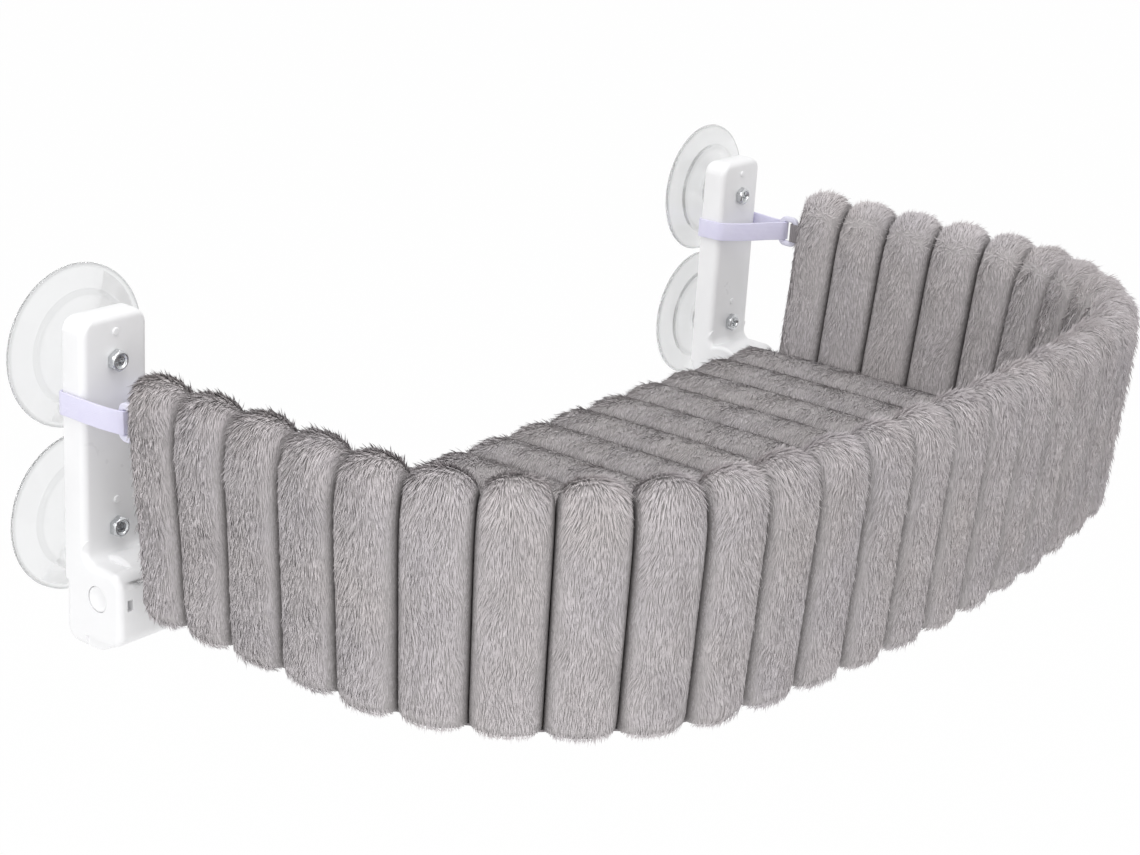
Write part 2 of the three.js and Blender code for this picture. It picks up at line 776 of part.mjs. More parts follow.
function swept(points, holes, route) {
  const shape = new THREE.Shape(points);
  shape.holes = holes.map((hole) => new THREE.Path(hole));
  const steps = route.stations.length - 1;
  return new THREE.ExtrudeGeometry(shape, { steps, bevelEnabled: false, extrudePath: route });
}

function tubeHalf() {
  const bore = ringPoints(tubeDiameter / 2 - tubeWall, tubeSides);
  return swept(ringPoints(tubeDiameter / 2, tubeSides), [bore], new TubeRoute(0, gap / 2));
}

function spigotForm() {
  const radius = tubeDiameter / 2 - tubeWall - 2 * gap;
  const bore = ringPoints(radius - tubeWall, tubeSides);
  const turn = spigotLength / 2 / bowRadius;
  const shape = new THREE.Shape(ringPoints(radius, tubeSides));
  shape.holes = [new THREE.Path(bore)];
  const arc = new THREE.CatmullRomCurve3(spigotPlaceShares.map((share) => new THREE.Vector3(
    bowRadius * Math.sin(turn * share),
    -frameReach + bowRadius * (1 - Math.cos(turn * share)),
    pivotZ,
  )));
  return new THREE.ExtrudeGeometry(shape, { steps: roundSteps, bevelEnabled: false, extrudePath: arc });
}

const leftTube = closedForm(tubeHalf());
place(perch, 'left_frame_tube', leftTube, 'paintedSteel');
place(perch, 'right_frame_tube', mirrored(leftTube), 'paintedSteel');
place(perch, 'frame_spigot', spigotForm(), 'zinc');

// Rear rail: a thinner straight tube welded between the two side runs, under the pad's open edge
const railDiameter = 12;
const railAhead = 14; // wall's ends to the rail's axis
const railPlace = bedRear + railAhead;

function railForm() {
  const half = -sideTubeX - tubeDiameter / 2 - gap;
  const [outer, bore] = [railDiameter / 2, railDiameter / 2 - tubeWall];
  return ringX(bore, outer, -half, half, -railPlace, pivotZ);
}

place(perch, 'rear_rail', railForm(), 'paintedSteel');

// Cloth tunnels under the base cover, which hold the tube: a strip laid round the tube with a
// sewn edge on both sides
const tunnelCloth = 1;
const tunnelHem = 10;
const tunnelRailGap = 8; // rail to the tunnel's rear end
const tunnelSpread = 8; // sides in the half round under the tube

const tunnelRadius = tubeDiameter / 2 + gap + tunnelCloth;
const bendStart = stubRun - tubeEnd; // tube's length before its first bend
const railAlong = bendStart + (Math.PI / 2 - 1) * bendRadius + railPlace - pivotReach;
const tunnelStart = railAlong + railDiameter / 2 + tunnelRailGap;

function tunnelForm() {
  // section in [down, across] from the tube's axis, hung from the cover's underside
  const [inner, outer] = [tunnelRadius - tunnelCloth, tunnelRadius];
  const roof = -tubeDiameter / 2;
  const arc = (radius, reverse) => Array.from({ length: tunnelSpread + 1 }, (_, step) => {
    const turn = (Math.PI * (reverse ? tunnelSpread - step : step)) / tunnelSpread;
    return new THREE.Vector2(radius * Math.sin(turn), radius * Math.cos(turn));
  });
  const section = [
    new THREE.Vector2(roof, outer + tunnelHem),
    new THREE.Vector2(roof + tunnelCloth, outer + tunnelHem),
    new THREE.Vector2(roof + tunnelCloth, outer),
    ...arc(outer, false),
    new THREE.Vector2(roof + tunnelCloth, -outer),
    new THREE.Vector2(roof + tunnelCloth, -outer - tunnelHem),
    new THREE.Vector2(roof, -outer - tunnelHem),
    new THREE.Vector2(roof, -inner),
    ...arc(inner, true),
    new THREE.Vector2(roof, inner),
  ];
  return swept(section, [], new TubeRoute(tunnelStart, gap / 2));
}

const leftTunnel = closedForm(tunnelForm());
place(perch, 'left_frame_tunnel', leftTunnel, 'cloth');
place(perch, 'right_frame_tunnel', mirrored(leftTunnel), 'cloth');

// Zip round the underside of the cover, near its edge, with its slider at the left rear
const zipWidth = 16;
const zipThickness = 1;
const zipClear = 1.7; // zip to the tunnel's hem
const zipSliderPlace = 14; // slider's middle, from the zip's left end
const sliderLength = 11;
const sliderWidth = 8;
const sliderHeight = 3.5;
const pullLength = 16;
const pullWidth = 5;
const pullThickness = 1.4;

const zipInset = frameInset - tunnelRadius - tunnelHem - zipClear - zipWidth / 2;

function zipForm() {
  const edge = (inset) => Array.from({ length: wallChannels * 2 + 1 }, (_, step) => (
    new THREE.Vector2(...onPlan((planLength * step) / (wallChannels * 2), inset))));
  const outline = [...edge(zipInset - zipWidth / 2), ...edge(zipInset + zipWidth / 2).reverse()];
  const top = coverFloor - gap;
  return alongZ(outline, top - zipThickness, top);
}

function sliderForm() {
  const [x, y] = onPlan(zipSliderPlace, zipInset);
  const top = coverFloor - gap - zipThickness - gap;
  const body = box(x - sliderWidth / 2, x + sliderWidth / 2, y - sliderLength / 2, y + sliderLength / 2,
    top - sliderHeight, top);
  const pull = box(x - pullWidth / 2, x + pullWidth / 2, y - sliderLength / 2 - pullLength,
    y - sliderLength / 2 + overrun, top - sliderHeight, top - sliderHeight + pullThickness);
  return asGeometry(joined(solid(body), pull));
}

place(perch, 'zip_tape', zipForm(), 'cloth');
place(perch, 'zip_slider', sliderForm(), 'paintedSteel');

// Strap: a closed band of webbing round the arm and round the rear bar of a plastic ring, and a
// cloth tab that ties the ring's front bar to the wall's end
const strapWidth = 12;
const strapThickness = 1.5;
const strapClear = 0.5; // under the upper cup's washer
const strapSlack = 0.4;
const ringThickness = 3;
const ringBar = 3.5;
const ringLength = 14; // ring's run from the arm to the wall
const ringPlay = 1; // ring's slot, past the strap's width
const tabThickness = 1.4;
const tabGrip = 2; // cloth between the ring's front bar and the wall's end

const strapLevel = cupLevels.upper - washerRadius - strapClear - strapWidth / 2;
const strapHeightShare = (strapLevel - bedFloor) / wallHeight;
const strapWallInset = THREE.MathUtils.lerp(wallFootThickness, wallTopThickness, strapHeightShare) / 2
  - (wallOutset - wallLean * (1 - strapHeightShare));
const ringMiddle = bracketSpacing / 2 - seamHalf + strapWallInset;
const ringHeight = strapWidth + ringPlay + 2 * ringBar;
const ringFront = -bedRear + tabGrip + gap;
const ringRear = ringFront + ringLength;

function offsetOutline(points, distance) {
  // a convex outline, with every side moved outwards by the distance
  const centre = new THREE.Vector2(average(points.map(([x]) => x)), average(points.map(([, y]) => y)));
  const lines = points.map(([x, y], index) => {
    const [nextX, nextY] = points[(index + 1) % points.length];
    const normal = new THREE.Vector2(nextY - y, x - nextX).normalize();
    const start = new THREE.Vector2(x, y);
    if (normal.dot(start.clone().sub(centre)) < 0) normal.negate();
    return { normal, reach: normal.dot(start) + distance };
  });
  return lines.map((line, index) => {
    const last = lines.at(index - 1);
    const spread = last.normal.cross(line.normal);
    return new THREE.Vector2(
      (last.reach * line.normal.y - line.reach * last.normal.y) / spread,
      (line.reach * last.normal.x - last.reach * line.normal.x) / spread,
    );
  });
}

function strapForm() {
  const [barFront, half] = [ringRear - ringBar, ringThickness / 2];
  const hull = [[-armHalf, armBack], [armHalf, armBack], [armHalf, armFront], [ringMiddle + half, barFront],
    [ringMiddle - half, barFront], [-armHalf, armFront]];
  const inner = offsetOutline(hull, strapSlack);
  const outer = offsetOutline(hull, strapSlack + strapThickness);
  return alongZ(outer, strapLevel - strapWidth / 2, strapLevel + strapWidth / 2, [inner]);
}

function strapRingForm() {
  const half = ringThickness / 2;
  const hole = (ringHeight - 2 * ringBar) / 2;
  const frame = box(ringMiddle - half, ringMiddle + half, ringFront, ringRear, strapLevel - ringHeight / 2,
    strapLevel + ringHeight / 2);
  return asGeometry(cut(solid(frame), box(ringMiddle - half - overrun, ringMiddle + half + overrun,
    ringFront + ringBar, ringRear - ringBar, strapLevel - hole, strapLevel + hole)));
}

function tabForm() {
  const half = ringThickness / 2 + strapSlack;
  const [low, high] = [strapLevel - strapWidth / 2, strapLevel + strapWidth / 2];
  const wallEnd = -bedRear + gap;
  const barInner = ringFront + ringBar + strapSlack;
  const block = box(ringMiddle - half - tabThickness, ringMiddle + half + tabThickness, wallEnd,
    barInner + tabThickness, low, high);
  return asGeometry(cut(solid(block), box(ringMiddle - half, ringMiddle + half, ringFront - strapSlack,
    barInner, low - overrun, high + overrun)));
}

placeBothSides('strap', strapForm(), 'webbing');
placeBothSides('strap_ring', strapRingForm(), 'webbing');
placeBothSides('wall_tab', tabForm(), 'cloth');

export default perch;
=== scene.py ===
import math
import bmesh
import bpy
import numpy as np
from mathutils import Matrix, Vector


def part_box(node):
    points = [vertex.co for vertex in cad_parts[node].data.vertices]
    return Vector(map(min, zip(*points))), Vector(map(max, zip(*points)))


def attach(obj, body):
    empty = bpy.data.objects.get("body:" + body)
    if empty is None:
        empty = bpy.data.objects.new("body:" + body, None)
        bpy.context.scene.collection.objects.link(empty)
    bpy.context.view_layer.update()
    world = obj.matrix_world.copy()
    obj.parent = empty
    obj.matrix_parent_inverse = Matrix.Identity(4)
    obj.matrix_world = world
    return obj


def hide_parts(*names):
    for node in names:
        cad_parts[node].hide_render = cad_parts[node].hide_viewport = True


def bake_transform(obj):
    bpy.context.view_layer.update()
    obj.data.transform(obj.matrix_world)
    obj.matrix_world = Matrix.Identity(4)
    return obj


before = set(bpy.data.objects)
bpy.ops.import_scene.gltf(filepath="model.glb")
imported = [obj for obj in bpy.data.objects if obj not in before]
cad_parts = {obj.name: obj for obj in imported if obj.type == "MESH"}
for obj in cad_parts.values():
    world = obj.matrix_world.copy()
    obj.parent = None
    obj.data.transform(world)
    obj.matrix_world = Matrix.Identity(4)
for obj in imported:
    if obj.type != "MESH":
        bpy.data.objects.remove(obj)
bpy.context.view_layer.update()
MM = 0.001  # the sizes below are millimetres, in the perch's own frame: glass at Y = 0, room towards -Y

# The photograph's view. The camera stands to the left of the perch and a little above it, on the
# room side, and was fitted to the screws, the cup rims and the wall's seams.
camera_place = (-977.1, -858.8, 397.7)
camera_turn = math.radians(52.43)  # from the +Y direction towards +X
camera_drop = math.radians(19.38)
camera_roll = math.radians(3.49)
sensor_width = 36
camera_lens = 72.06


def placed(name, data):
    """An object with this data, in the scene."""
    made = bpy.data.objects.new(name, data)
    bpy.context.scene.collection.objects.link(made)
    return made


across = np.array([math.cos(camera_turn), -math.sin(camera_turn), 0])
ahead = np.array([
    math.sin(camera_turn) * math.cos(camera_drop),
    math.cos(camera_turn) * math.cos(camera_drop),
    -math.sin(camera_drop),
])
above = np.cross(across, ahead)
camera_right = math.cos(camera_roll) * across + math.sin(camera_roll) * above
camera_up = math.cos(camera_roll) * above - math.sin(camera_roll) * across
camera = placed("camera", bpy.data.cameras.new("camera"))
camera.data.lens = camera_lens
camera.data.sensor_width = sensor_width
camera.data.clip_start = 0.01
camera.matrix_world = Matrix.Translation(np.array(camera_place) * MM) @ Matrix(
    np.column_stack([camera_right, camera_up, -ahead]).tolist()).to_4x4()
bpy.context.scene.camera = camera
bpy.context.scene.view_settings.view_transform = "Standard"


# The studio: a pale floor well below the hanging perch, a soft lamp from the left, weaker ones overhead
# and in front, and an even white surround. The camera, gloss and clear PVC see plain white.
def linear(code):
    """A hex colour as linear RGBA: c / 12.92 up to 0.04045, and ((c + 0.055) / 1.055) ^ 2.4 above."""
    c = np.array([int(code[at:at + 2], 16) for at in (1, 3, 5)]) / 255
    return (*np.where(c <= 0.04045, c / 12.92, ((c + 0.055) / 1.055) ** 2.4), 1.0)


def add(tree, kind, inputs, out=0, **settings):
    """Adds a shader node of this kind and returns the output 'out' of it, if it has outputs. Settings are
    its properties, and inputs gives each socket, by name or number, a value or another node's output."""
    node = tree.nodes.new("ShaderNode" + kind)
    for name, value in settings.items():
        setattr(node, name, value)
    for socket, value in inputs.items():
        if isinstance(value, bpy.types.NodeSocket):
            tree.links.new(value, node.inputs[socket])
        else:
            node.inputs[socket].default_value = value
    return node.outputs[out] if node.outputs else node


def blank(owner):
    """The owner's node tree, emptied."""
    owner.use_nodes = True
    owner.node_tree.nodes.clear()
    return owner.node_tree


def unit(vectors):
    """Each vector over its own length."""
    return vectors / np.maximum(np.linalg.norm(vectors, axis=-1, keepdims=True), 1e-9)


def seen_plainly(tree):
    """1 for the rays of camera, gloss and transmission, which see the studio as plain white, and else 0."""
    rays = add(tree, "LightPath", {}).node.outputs
    seen = add(tree, "Math", {0: rays["Is Camera Ray"], 1: rays["Is Glossy Ray"]}, operation="MAXIMUM")
    return add(tree, "Math", {0: seen, 1: rays["Is Transmission Ray"]}, operation="MAXIMUM")


floor_level = -620
floor_half = 6000
surround_strength = 0.68
backdrop_share = 0.98  # of the floor's colour that is plain white to the camera, gloss and clear PVC

world = bpy.data.worlds.new("studio")
bpy.context.scene.world = world
tree = blank(world)
strength = add(tree, "MapRange", {"Value": seen_plainly(tree), "To Min": surround_strength, "To Max": 1.0})
surround = add(tree, "Background", {"Color": linear("#FFFFFF"), "Strength": strength})
add(tree, "OutputWorld", {"Surface": surround})

floor_finish = bpy.data.materials.new("pale_floor")
tree = blank(floor_finish)
share = add(tree, "Math", {0: seen_plainly(tree), 1: backdrop_share}, operation="MULTIPLY")
paint = add(tree, "BsdfDiffuse", {"Color": linear("#F6F6F6")})
white = add(tree, "Emission", {"Color": linear("#FFFFFF"), "Strength": 1.0})
add(tree, "OutputMaterial", {"Surface": add(tree, "MixShader", {0: share, 1: paint, 2: white})})

floor_mesh = bpy.data.meshes.new("floor")
floor_corners = np.array([(-1, -1), (1, -1), (1, 1), (-1, 1)]) * floor_half
floor_mesh.from_pydata([(x * MM, y * MM, floor_level * MM) for x, y in floor_corners], [], [(0, 1, 2, 3)])
floor_mesh.materials.append(floor_finish)
floor = placed("floor", floor_mesh)

# Each lamp: name, direction from the perch, distance, width of its soft box and its power in watts
lamp_aim = np.array([0.0, -200.0, 0.0])
lamps = [
    ("key_lamp", (-0.96, 0.1, 0.12), 2200, 1300, 6.5),
    ("overhead_lamp", (-0.3, -0.1, 1.0), 2200, 1600, 21),
    ("front_lamp", (-0.55, -0.8, 0.3), 2400, 1500, 14.5),
]
for name, direction, distance, width, power in lamps:
    lamp = placed(name, bpy.data.lights.new(name, "AREA"))
    lamp.data.shape = "DISK"
    lamp.data.size = width * MM
    lamp.data.energy = power
    towards = unit(np.array(direction))
    side = unit(np.cross((0, 0, 1), towards))
    lamp.matrix_world = Matrix.Translation((lamp_aim + towards * distance) * MM) @ Matrix(
        np.column_stack([side, np.cross(towards, side), towards]).tolist()).to_4x4()


# Suction cups: clear soft PVC, cast in one polished mould as a shallow dish with a stepped back and a
# thick hub. The polished mould leaves a glassy skin. The rim and the step are drawn as thin grey lines of
# painted shade.
def rounded(corners, steps=6):
    """A closed outline through corners of [a, b, radius]. Each corner becomes an arc that is tangent to
    both its sides: it is centred on the corner's bisector, radius / sin(half the angle) away."""
    corners = np.array(corners, float)
    arcs = []
    for before, here, after in zip(np.roll(corners, 1, 0), corners, np.roll(corners, -1, 0)):
        here, radius = here[:2], here[2]
        if radius == 0:
            arcs.append(here[None])
            continue
        back, on = before[:2] - here, after[:2] - here
        limit = min(np.linalg.norm(back), np.linalg.norm(on)) / 2
        back, on = unit(back), unit(on)
        half = math.acos(np.clip(back @ on, -1, 1)) / 2
        run = min(radius / math.tan(half), limit)
        middle = unit(back + on) * run / math.cos(half)
        start, end = back * run - middle, on * run - middle
        across = np.array([-start[1], start[0]])
        turn = math.atan2(across @ end, start @ end) * np.linspace(0, 1, steps + 1)[:, None]
        arcs.append(here + middle + np.cos(turn) * start + np.sin(turn) * across)
    return np.vstack(arcs)


def run_of(line):
    """Each point's distance along the line of points, from its first."""
    return np.concatenate([[0], np.cumsum(np.linalg.norm(np.diff(line, axis=0), axis=1))])


def read_at(places, at, rows):
    """The rows' columns at these places, between rows that stand at the places in 'at'."""
    return np.column_stack([np.interp(places, at, column) for column in rows.T])


def lattice(rows, columns, loop_rows=False, loop_columns=False):
    """Corner numbers of the quads between neighbours on a grid of rows x columns points, joined round
    to the first row or column where it loops."""
    r, c = np.indices((rows - (not loop_rows), columns - (not loop_columns)))
    below, beside = (r + 1) % rows, (c + 1) % columns
    corners = [r * columns + c, r * columns + beside, below * columns + beside, below * columns + c]
    return np.stack(corners, -1).reshape(-1, 4)


def fill_mesh(name, points, faces):
    """A mesh from points in millimetres and arrays of faces, each array a row of corner numbers a face."""
    mesh = bpy.data.meshes.new(name)
    points = np.asarray(points, np.float32).reshape(-1, 3) * MM
    faces = faces if isinstance(faces, list) else [faces]
    corners = np.concatenate([face.ravel() for face in faces]).astype(np.int32)
    counts = np.concatenate([np.full(len(face), face.shape[1]) for face in faces])
    mesh.vertices.add(len(points))
    mesh.vertices.foreach_set("co", points.ravel())
    mesh.loops.add(len(corners))
    mesh.loops.foreach_set("vertex_index", corners)
    mesh.polygons.add(len(counts))
    mesh.polygons.foreach_set("loop_start", np.concatenate([[0], np.cumsum(counts)[:-1]]).astype(np.int32))
    mesh.update(calc_edges=True)
    return mesh


def new_material(name):
    """A material, its emptied node tree and the output of its object coordinates."""
    made = bpy.data.materials.new(name)
    tree = blank(made)
    return made, tree, add(tree, "TexCoord", {}, "Object")


def mark(mesh, name, kind, domain, values, field="value"):
    """An attribute of the mesh, with its values."""
    mesh.attributes.new(name, kind, domain).data.foreach_set(field, values.ravel())


weld_distance = 0.004
crease = math.radians(38)  # edges sharper than this stay sharp


def shade_smooth(mesh, sharp_from):
    """Smooth shading but for the edges that bend by more than this angle."""
    mesh.polygons.foreach_set("use_smooth", np.ones(len(mesh.polygons), bool))
    mesh.set_sharp_from_angle(angle=sharp_from)


def piece(name, points, faces, finish, smooth=crease, marks=None):
    """An object at the origin with a closed mesh: points that meet are welded, which closes seams and
    poles, and the faces are turned round if the signed volume that they hold is negative. The marks are
    attributes of the points, for the material."""
    mesh = fill_mesh(name, points, faces)
    for label, values in (marks or {}).items():
        mark(mesh, label, "FLOAT", "POINT", values.astype(np.float32))
    shape = bmesh.new()
    shape.from_mesh(mesh)
    bmesh.ops.remove_doubles(shape, verts=shape.verts, dist=weld_distance * MM)
    bmesh.ops.dissolve_degenerate(shape, edges=shape.edges, dist=weld_distance * MM)
    if shape.calc_volume(signed=True) < 0:
        bmesh.ops.reverse_faces(shape, faces=shape.faces)
    shape.to_mesh(mesh)
    shape.free()
    shade_smooth(mesh, smooth)
    mesh.materials.append(finish)
    return placed(name, mesh)


def ring_faces(skin):
    """The quads of a grid of points that is joined round both ways."""
    return lattice(*skin.shape[:2], True, True)


def all_round(sides):
    """The angles of points spread evenly round a circle."""
    return np.arange(sides) * 2 * np.pi / sides


def turned(profile, sides, x=0.0, z=0.0):
    """A profile of rows [radius, y], turned about the line along Y through x and z: a point goes to
    (x + r cos a, y, z + r sin a) for each angle a."""
    turn = all_round(sides)
    r, y = profile[:, :1], profile[:, 1:]
    return np.stack([x + r * np.cos(turn), y + 0 * turn, z + r * np.sin(turn)], -1)


def kept_cad(names, finish):
    """CAD nodes whose shape is right keep it, and take this finish."""
    for name in names:
        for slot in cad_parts[name].material_slots:
            slot.material = finish


sides_of_bed = ("left", "right")
levels = ("upper", "lower")


def box_of(node):
    """The low and the high corner of a CAD node's box, in millimetres."""
    return np.array(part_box(node)) / MM


clear_pvc, tree, place = new_material("clear_cast_pvc")
# Painted shade: the rim and the step's edge are greyed in the colour, for the darkening they show when seen
# through their length
painted_edge_shade = add(tree, "Attribute", {}, "Fac", attribute_name="edge")
narrowed = add(tree, "Math", {0: painted_edge_shade, 1: 3.0}, operation="POWER")
grey = add(tree, "Mix", {0: narrowed, 6: linear("#EEEFF0"), 7: linear("#B4B6B7")}, 2, data_type="RGBA")
# Slow flow marks, about 12 mm across, and a fine haze that PVC gets from handling
flow = add(tree, "TexNoise", {"Vector": place, "Scale": 80.0, "Detail": 2.0})
haze = add(tree, "MapRange", {"Value": flow, "From Min": 0.3, "From Max": 0.7, "To Min": 0.03,
                              "To Max": 0.11})
dent = add(tree, "Bump", {"Height": flow, "Strength": 0.06, "Distance": 0.002})
shade = add(tree, "BsdfPrincipled", {
    "Base Color": grey, "Roughness": haze, "IOR": 1.42, "Alpha": 0.6,
    "Transmission Weight": 1.0, "Normal": dent})
add(tree, "OutputMaterial", {"Surface": shade})

dish_depth = 4
hub_radius = 12.5
hub_draft = 1.5
step_radius = 29
step_width = 1.5
step_height = 1.6
step_level = 5
shoulder_level = 10.6
rim_width = 2.5
rim_thickness = 1.6
hub_top = 13.7
pocket_radius = 5.5
pocket_floor = 6
cup_radius = np.ptp(box_of("left_upper_suction_cup"), axis=0)[0] / 2
cup_profile = rounded([
    [0, -dish_depth, 0],
    [hub_radius, -dish_depth, 8],
    [step_radius, -dish_depth / 2, 8],
    [cup_radius - rim_width, 0, 0.6],
    [cup_radius, 0, 0.6],
    [cup_radius, -rim_thickness, 0.8],
    [step_radius + step_width, -step_level, 1.2],
    [step_radius, -step_level - step_height, 1.0],
    [hub_radius + hub_draft, -shoulder_level, 2.5],
    [hub_radius, -hub_top, 0.8],
    [pocket_radius, -hub_top, 0.4],
    [pocket_radius, -pocket_floor, 0.4],
    [0, -pocket_floor, 0],
], steps=5)
cup_sides = 96
cup_step = 2.5  # between the profile's points, at most
rim_band, step_band, step_shade_share = 1, 1.4, 0.8  # the painted grey lines' widths, and the step's share of the rim's painted grey
at = run_of(cup_profile)
cup_profile = read_at(np.union1d(at, np.arange(0, at[-1], cup_step)), at, cup_profile)
# Where the painted grey shade lies: a band at the rim and one at the step
on_rim = cup_profile[:, 0] > cup_radius - rim_band
on_step = (np.abs(cup_profile[:, 0] - step_radius) < step_band) & (cup_profile[:, 1] < -step_level)
cup_edge_shade = np.repeat((on_rim + step_shade_share * on_step)[:, None], cup_sides, 1)
for side in sides_of_bed:
    for level in levels:
        x, y, z = box_of(f"{side}_{level}_suction_cup").mean(0)
        cup = piece(f"{side}_{level}_clear_cup", turned(cup_profile, cup_sides, x, z),
                    lattice(len(cup_profile), cup_sides, loop_columns=True), clear_pvc,
                    marks={"edge": cup_edge_shade})
        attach(cup, "mount")
        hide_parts(f"{side}_{level}_suction_cup")


# Washers and inserts: 30 mm steel washers, stamped and zinc plated, that show through the cups, and
# turned steel bushes in the hubs. The plating is bright with faint rolling lines.
def mottled(name, scale, detail, colours, roughness, more, dent=None):
    """A material led by one noise of this scale and detail. It carries the colour from the first to the
    second, and the roughness too if two are given, and it dents the skin by a (strength, distance).
    More gives the surface's other sockets."""
    finish, tree, place = new_material(name)
    noise = add(tree, "TexNoise", {"Vector": place, "Scale": scale, "Detail": detail})
    tint = add(tree, "Mix", {0: noise, 6: linear(colours[0]), 7: linear(colours[1])}, 2, data_type="RGBA")
    if isinstance(roughness, tuple):
        roughness = add(tree, "MapRange", {"Value": noise, "To Min": roughness[0], "To Max": roughness[1]})
    surface = {"Base Color": tint, "Roughness": roughness, **more}
    if dent:
        surface["Normal"] = add(tree, "Bump", {"Height": noise, "Strength": dent[0], "Distance": dent[1]})
    add(tree, "OutputMaterial", {"Surface": add(tree, "BsdfPrincipled", surface)})
    return finish


zinc_plate = mottled("zinc_plated_steel", 900.0, 3.0, ("#B9BCBF", "#E2E3E4"), (0.16, 0.34), {"Metallic": 1.0},
                     dent=(0.12, 0.0004))

washer_radius = 15
washer_bore = 3.4
washer_round = 0.3
washer_sides = 72
for side in sides_of_bed:
    for level in levels:
        node = f"{side}_{level}_cup_washer"
        x, y, z = box_of(node).mean(0)
        front, back = box_of(node)[:, 1]
        profile = rounded([[washer_bore, back, washer_round], [washer_radius, back, washer_round],
                           [washer_radius, front, washer_round], [washer_bore, front, washer_round]], steps=3)
        skin = turned(profile, washer_sides, x, z)
        washer = piece(f"{side}_{level}_steel_washer", skin, ring_faces(skin), zinc_plate)
        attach(washer, "mount")
        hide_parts(node)
kept_cad([f"{side}_{level}_cup_insert" for side in sides_of_bed for level in levels], zinc_plate)


# Cup screws: M6, cold headed in zinc plated steel. The head is a hexagon with a domed edge, a dished
# top and a cross recess, and sits on the arm's front.
head_flats = 10
head_height = 4
head_dish = 1.1
dish_radius = 3.9
cross_length = 5.8
cross_width = 1.25
cross_depth = 2.2
cross_slope = 0.28  # how far the recess's walls lean out over their height
shank_radius = 3
crown_share = 0.97  # of half the flats, where the head's top edge is turned round
dished_to = 0.72  # share of the dish's radius that is flat


def smooth_step(value, low, high):
    """0 below low, 1 above high, and 3 t^2 - 2 t^3 between."""
    t = np.clip((value - low) / (high - low), 0, 1)
    return t * t * (3 - 2 * t)


def screw_skin(seat, tip, x, z, rings=26, sides=144):
    """The head as rings about Y. Its outline is a hexagon, radius = flats / 2 / cos(angle from the
    nearest flat), trimmed to a circle at the top edge. The top is a dish less the cross, whose depth
    fades over its sloping walls. The shank is a plain cylinder down to the tip."""
    turn = all_round(sides)
    from_flat = (turn + np.pi / 6) % (np.pi / 3) - np.pi / 6
    hexagon = head_flats / 2 / np.cos(from_flat)
    top = seat - head_height
    share = np.linspace(0, 1, rings)[:, None]
    face_radius = dish_radius * share + 0 * turn
    dish = head_dish * (1 - smooth_step(share, dished_to, 1.0)) + 0 * turn
    u, v = face_radius * np.cos(turn), face_radius * np.sin(turn)
    arm_u = 1 - smooth_step(np.abs(u), cross_width / 2, cross_width / 2 + cross_slope)
    arm_v = 1 - smooth_step(np.abs(v), cross_width / 2, cross_width / 2 + cross_slope)
    reach = 1 - smooth_step(np.hypot(u, v), cross_length / 2 - cross_slope, cross_length / 2)
    cross = np.maximum(arm_u, arm_v) * reach * cross_depth
    face = np.stack([u, top + np.maximum(dish, cross), v], -1)
    crown_radius = head_flats / 2 * crown_share
    rims = [
        (np.full(sides, dish_radius + 0.25), top - 0.05),
        (np.full(sides, crown_radius - 0.35), top + 0.05),
        (np.minimum(hexagon, crown_radius), top + 0.35),
        (np.minimum(hexagon, crown_radius + 0.4), top + 0.75),
        (hexagon - 0.06, top + 1.25),
        (hexagon, top + 1.6),
        (hexagon, seat - 0.25),
        (hexagon - 0.2, seat),
        (np.full(sides, shank_radius), seat),
        (np.full(sides, shank_radius), tip - 0.8),
        (np.full(sides, shank_radius - 0.8), tip),
        (np.zeros(sides), tip),
    ]
    rim = np.stack([np.stack([r * np.cos(turn), np.full(sides, y), r * np.sin(turn)], -1) for r, y in rims])
    skin = np.concatenate([face, rim])
    return skin + np.array([x, 0, z])


screw_tip = -8
for side in sides_of_bed:
    for level in levels:
        node = f"{side}_{level}_cup_screw"
        x, y, z = box_of(node).mean(0)
        seat = box_of(node)[0][1] + head_height
        skin = screw_skin(seat, screw_tip, x, z)
        screw = piece(f"{side}_{level}_hex_cross_screw", skin, lattice(*skin.shape[:2], loop_columns=True),
                      zinc_plate)
        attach(screw, "mount")
        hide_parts(node)


# Brackets: each one white ABS moulding, an arm with a hollow ribbed back and a thick foot that holds
# the bed's pivot. Injection moulding leaves soft edges, a glossy skin and a faint unevenness in it.
white_abs, tree, place = new_material("moulded_white_abs")
# Sink and flow marks, 25 mm across, and a skin texture of about half a millimetre
sink = add(tree, "TexNoise", {"Vector": place, "Scale": 40.0, "Detail": 3.0, "Roughness": 0.55})
skin_grain = add(tree, "TexNoise", {"Vector": place, "Scale": 1800.0, "Detail": 2.0})
tint = add(tree, "Mix", {0: sink, 6: linear("#ECECED"), 7: linear("#F4F4F5")}, 2, data_type="RGBA")
gloss = add(tree, "MapRange", {"Value": sink, "From Min": 0.3, "From Max": 0.7, "To Min": 0.26,
                               "To Max": 0.38})
waves = add(tree, "Bump", {"Height": sink, "Strength": 0.12, "Distance": 0.003})
dent = add(tree, "Bump", {"Height": skin_grain, "Strength": 0.05, "Distance": 0.0003, "Normal": waves})
shade = add(tree, "BsdfPrincipled", {
    "Base Color": tint, "Roughness": gloss, "IOR": 1.53, "Normal": dent,
    "Coat Weight": 0.15, "Coat Roughness": 0.2})
add(tree, "OutputMaterial", {"Surface": shade})

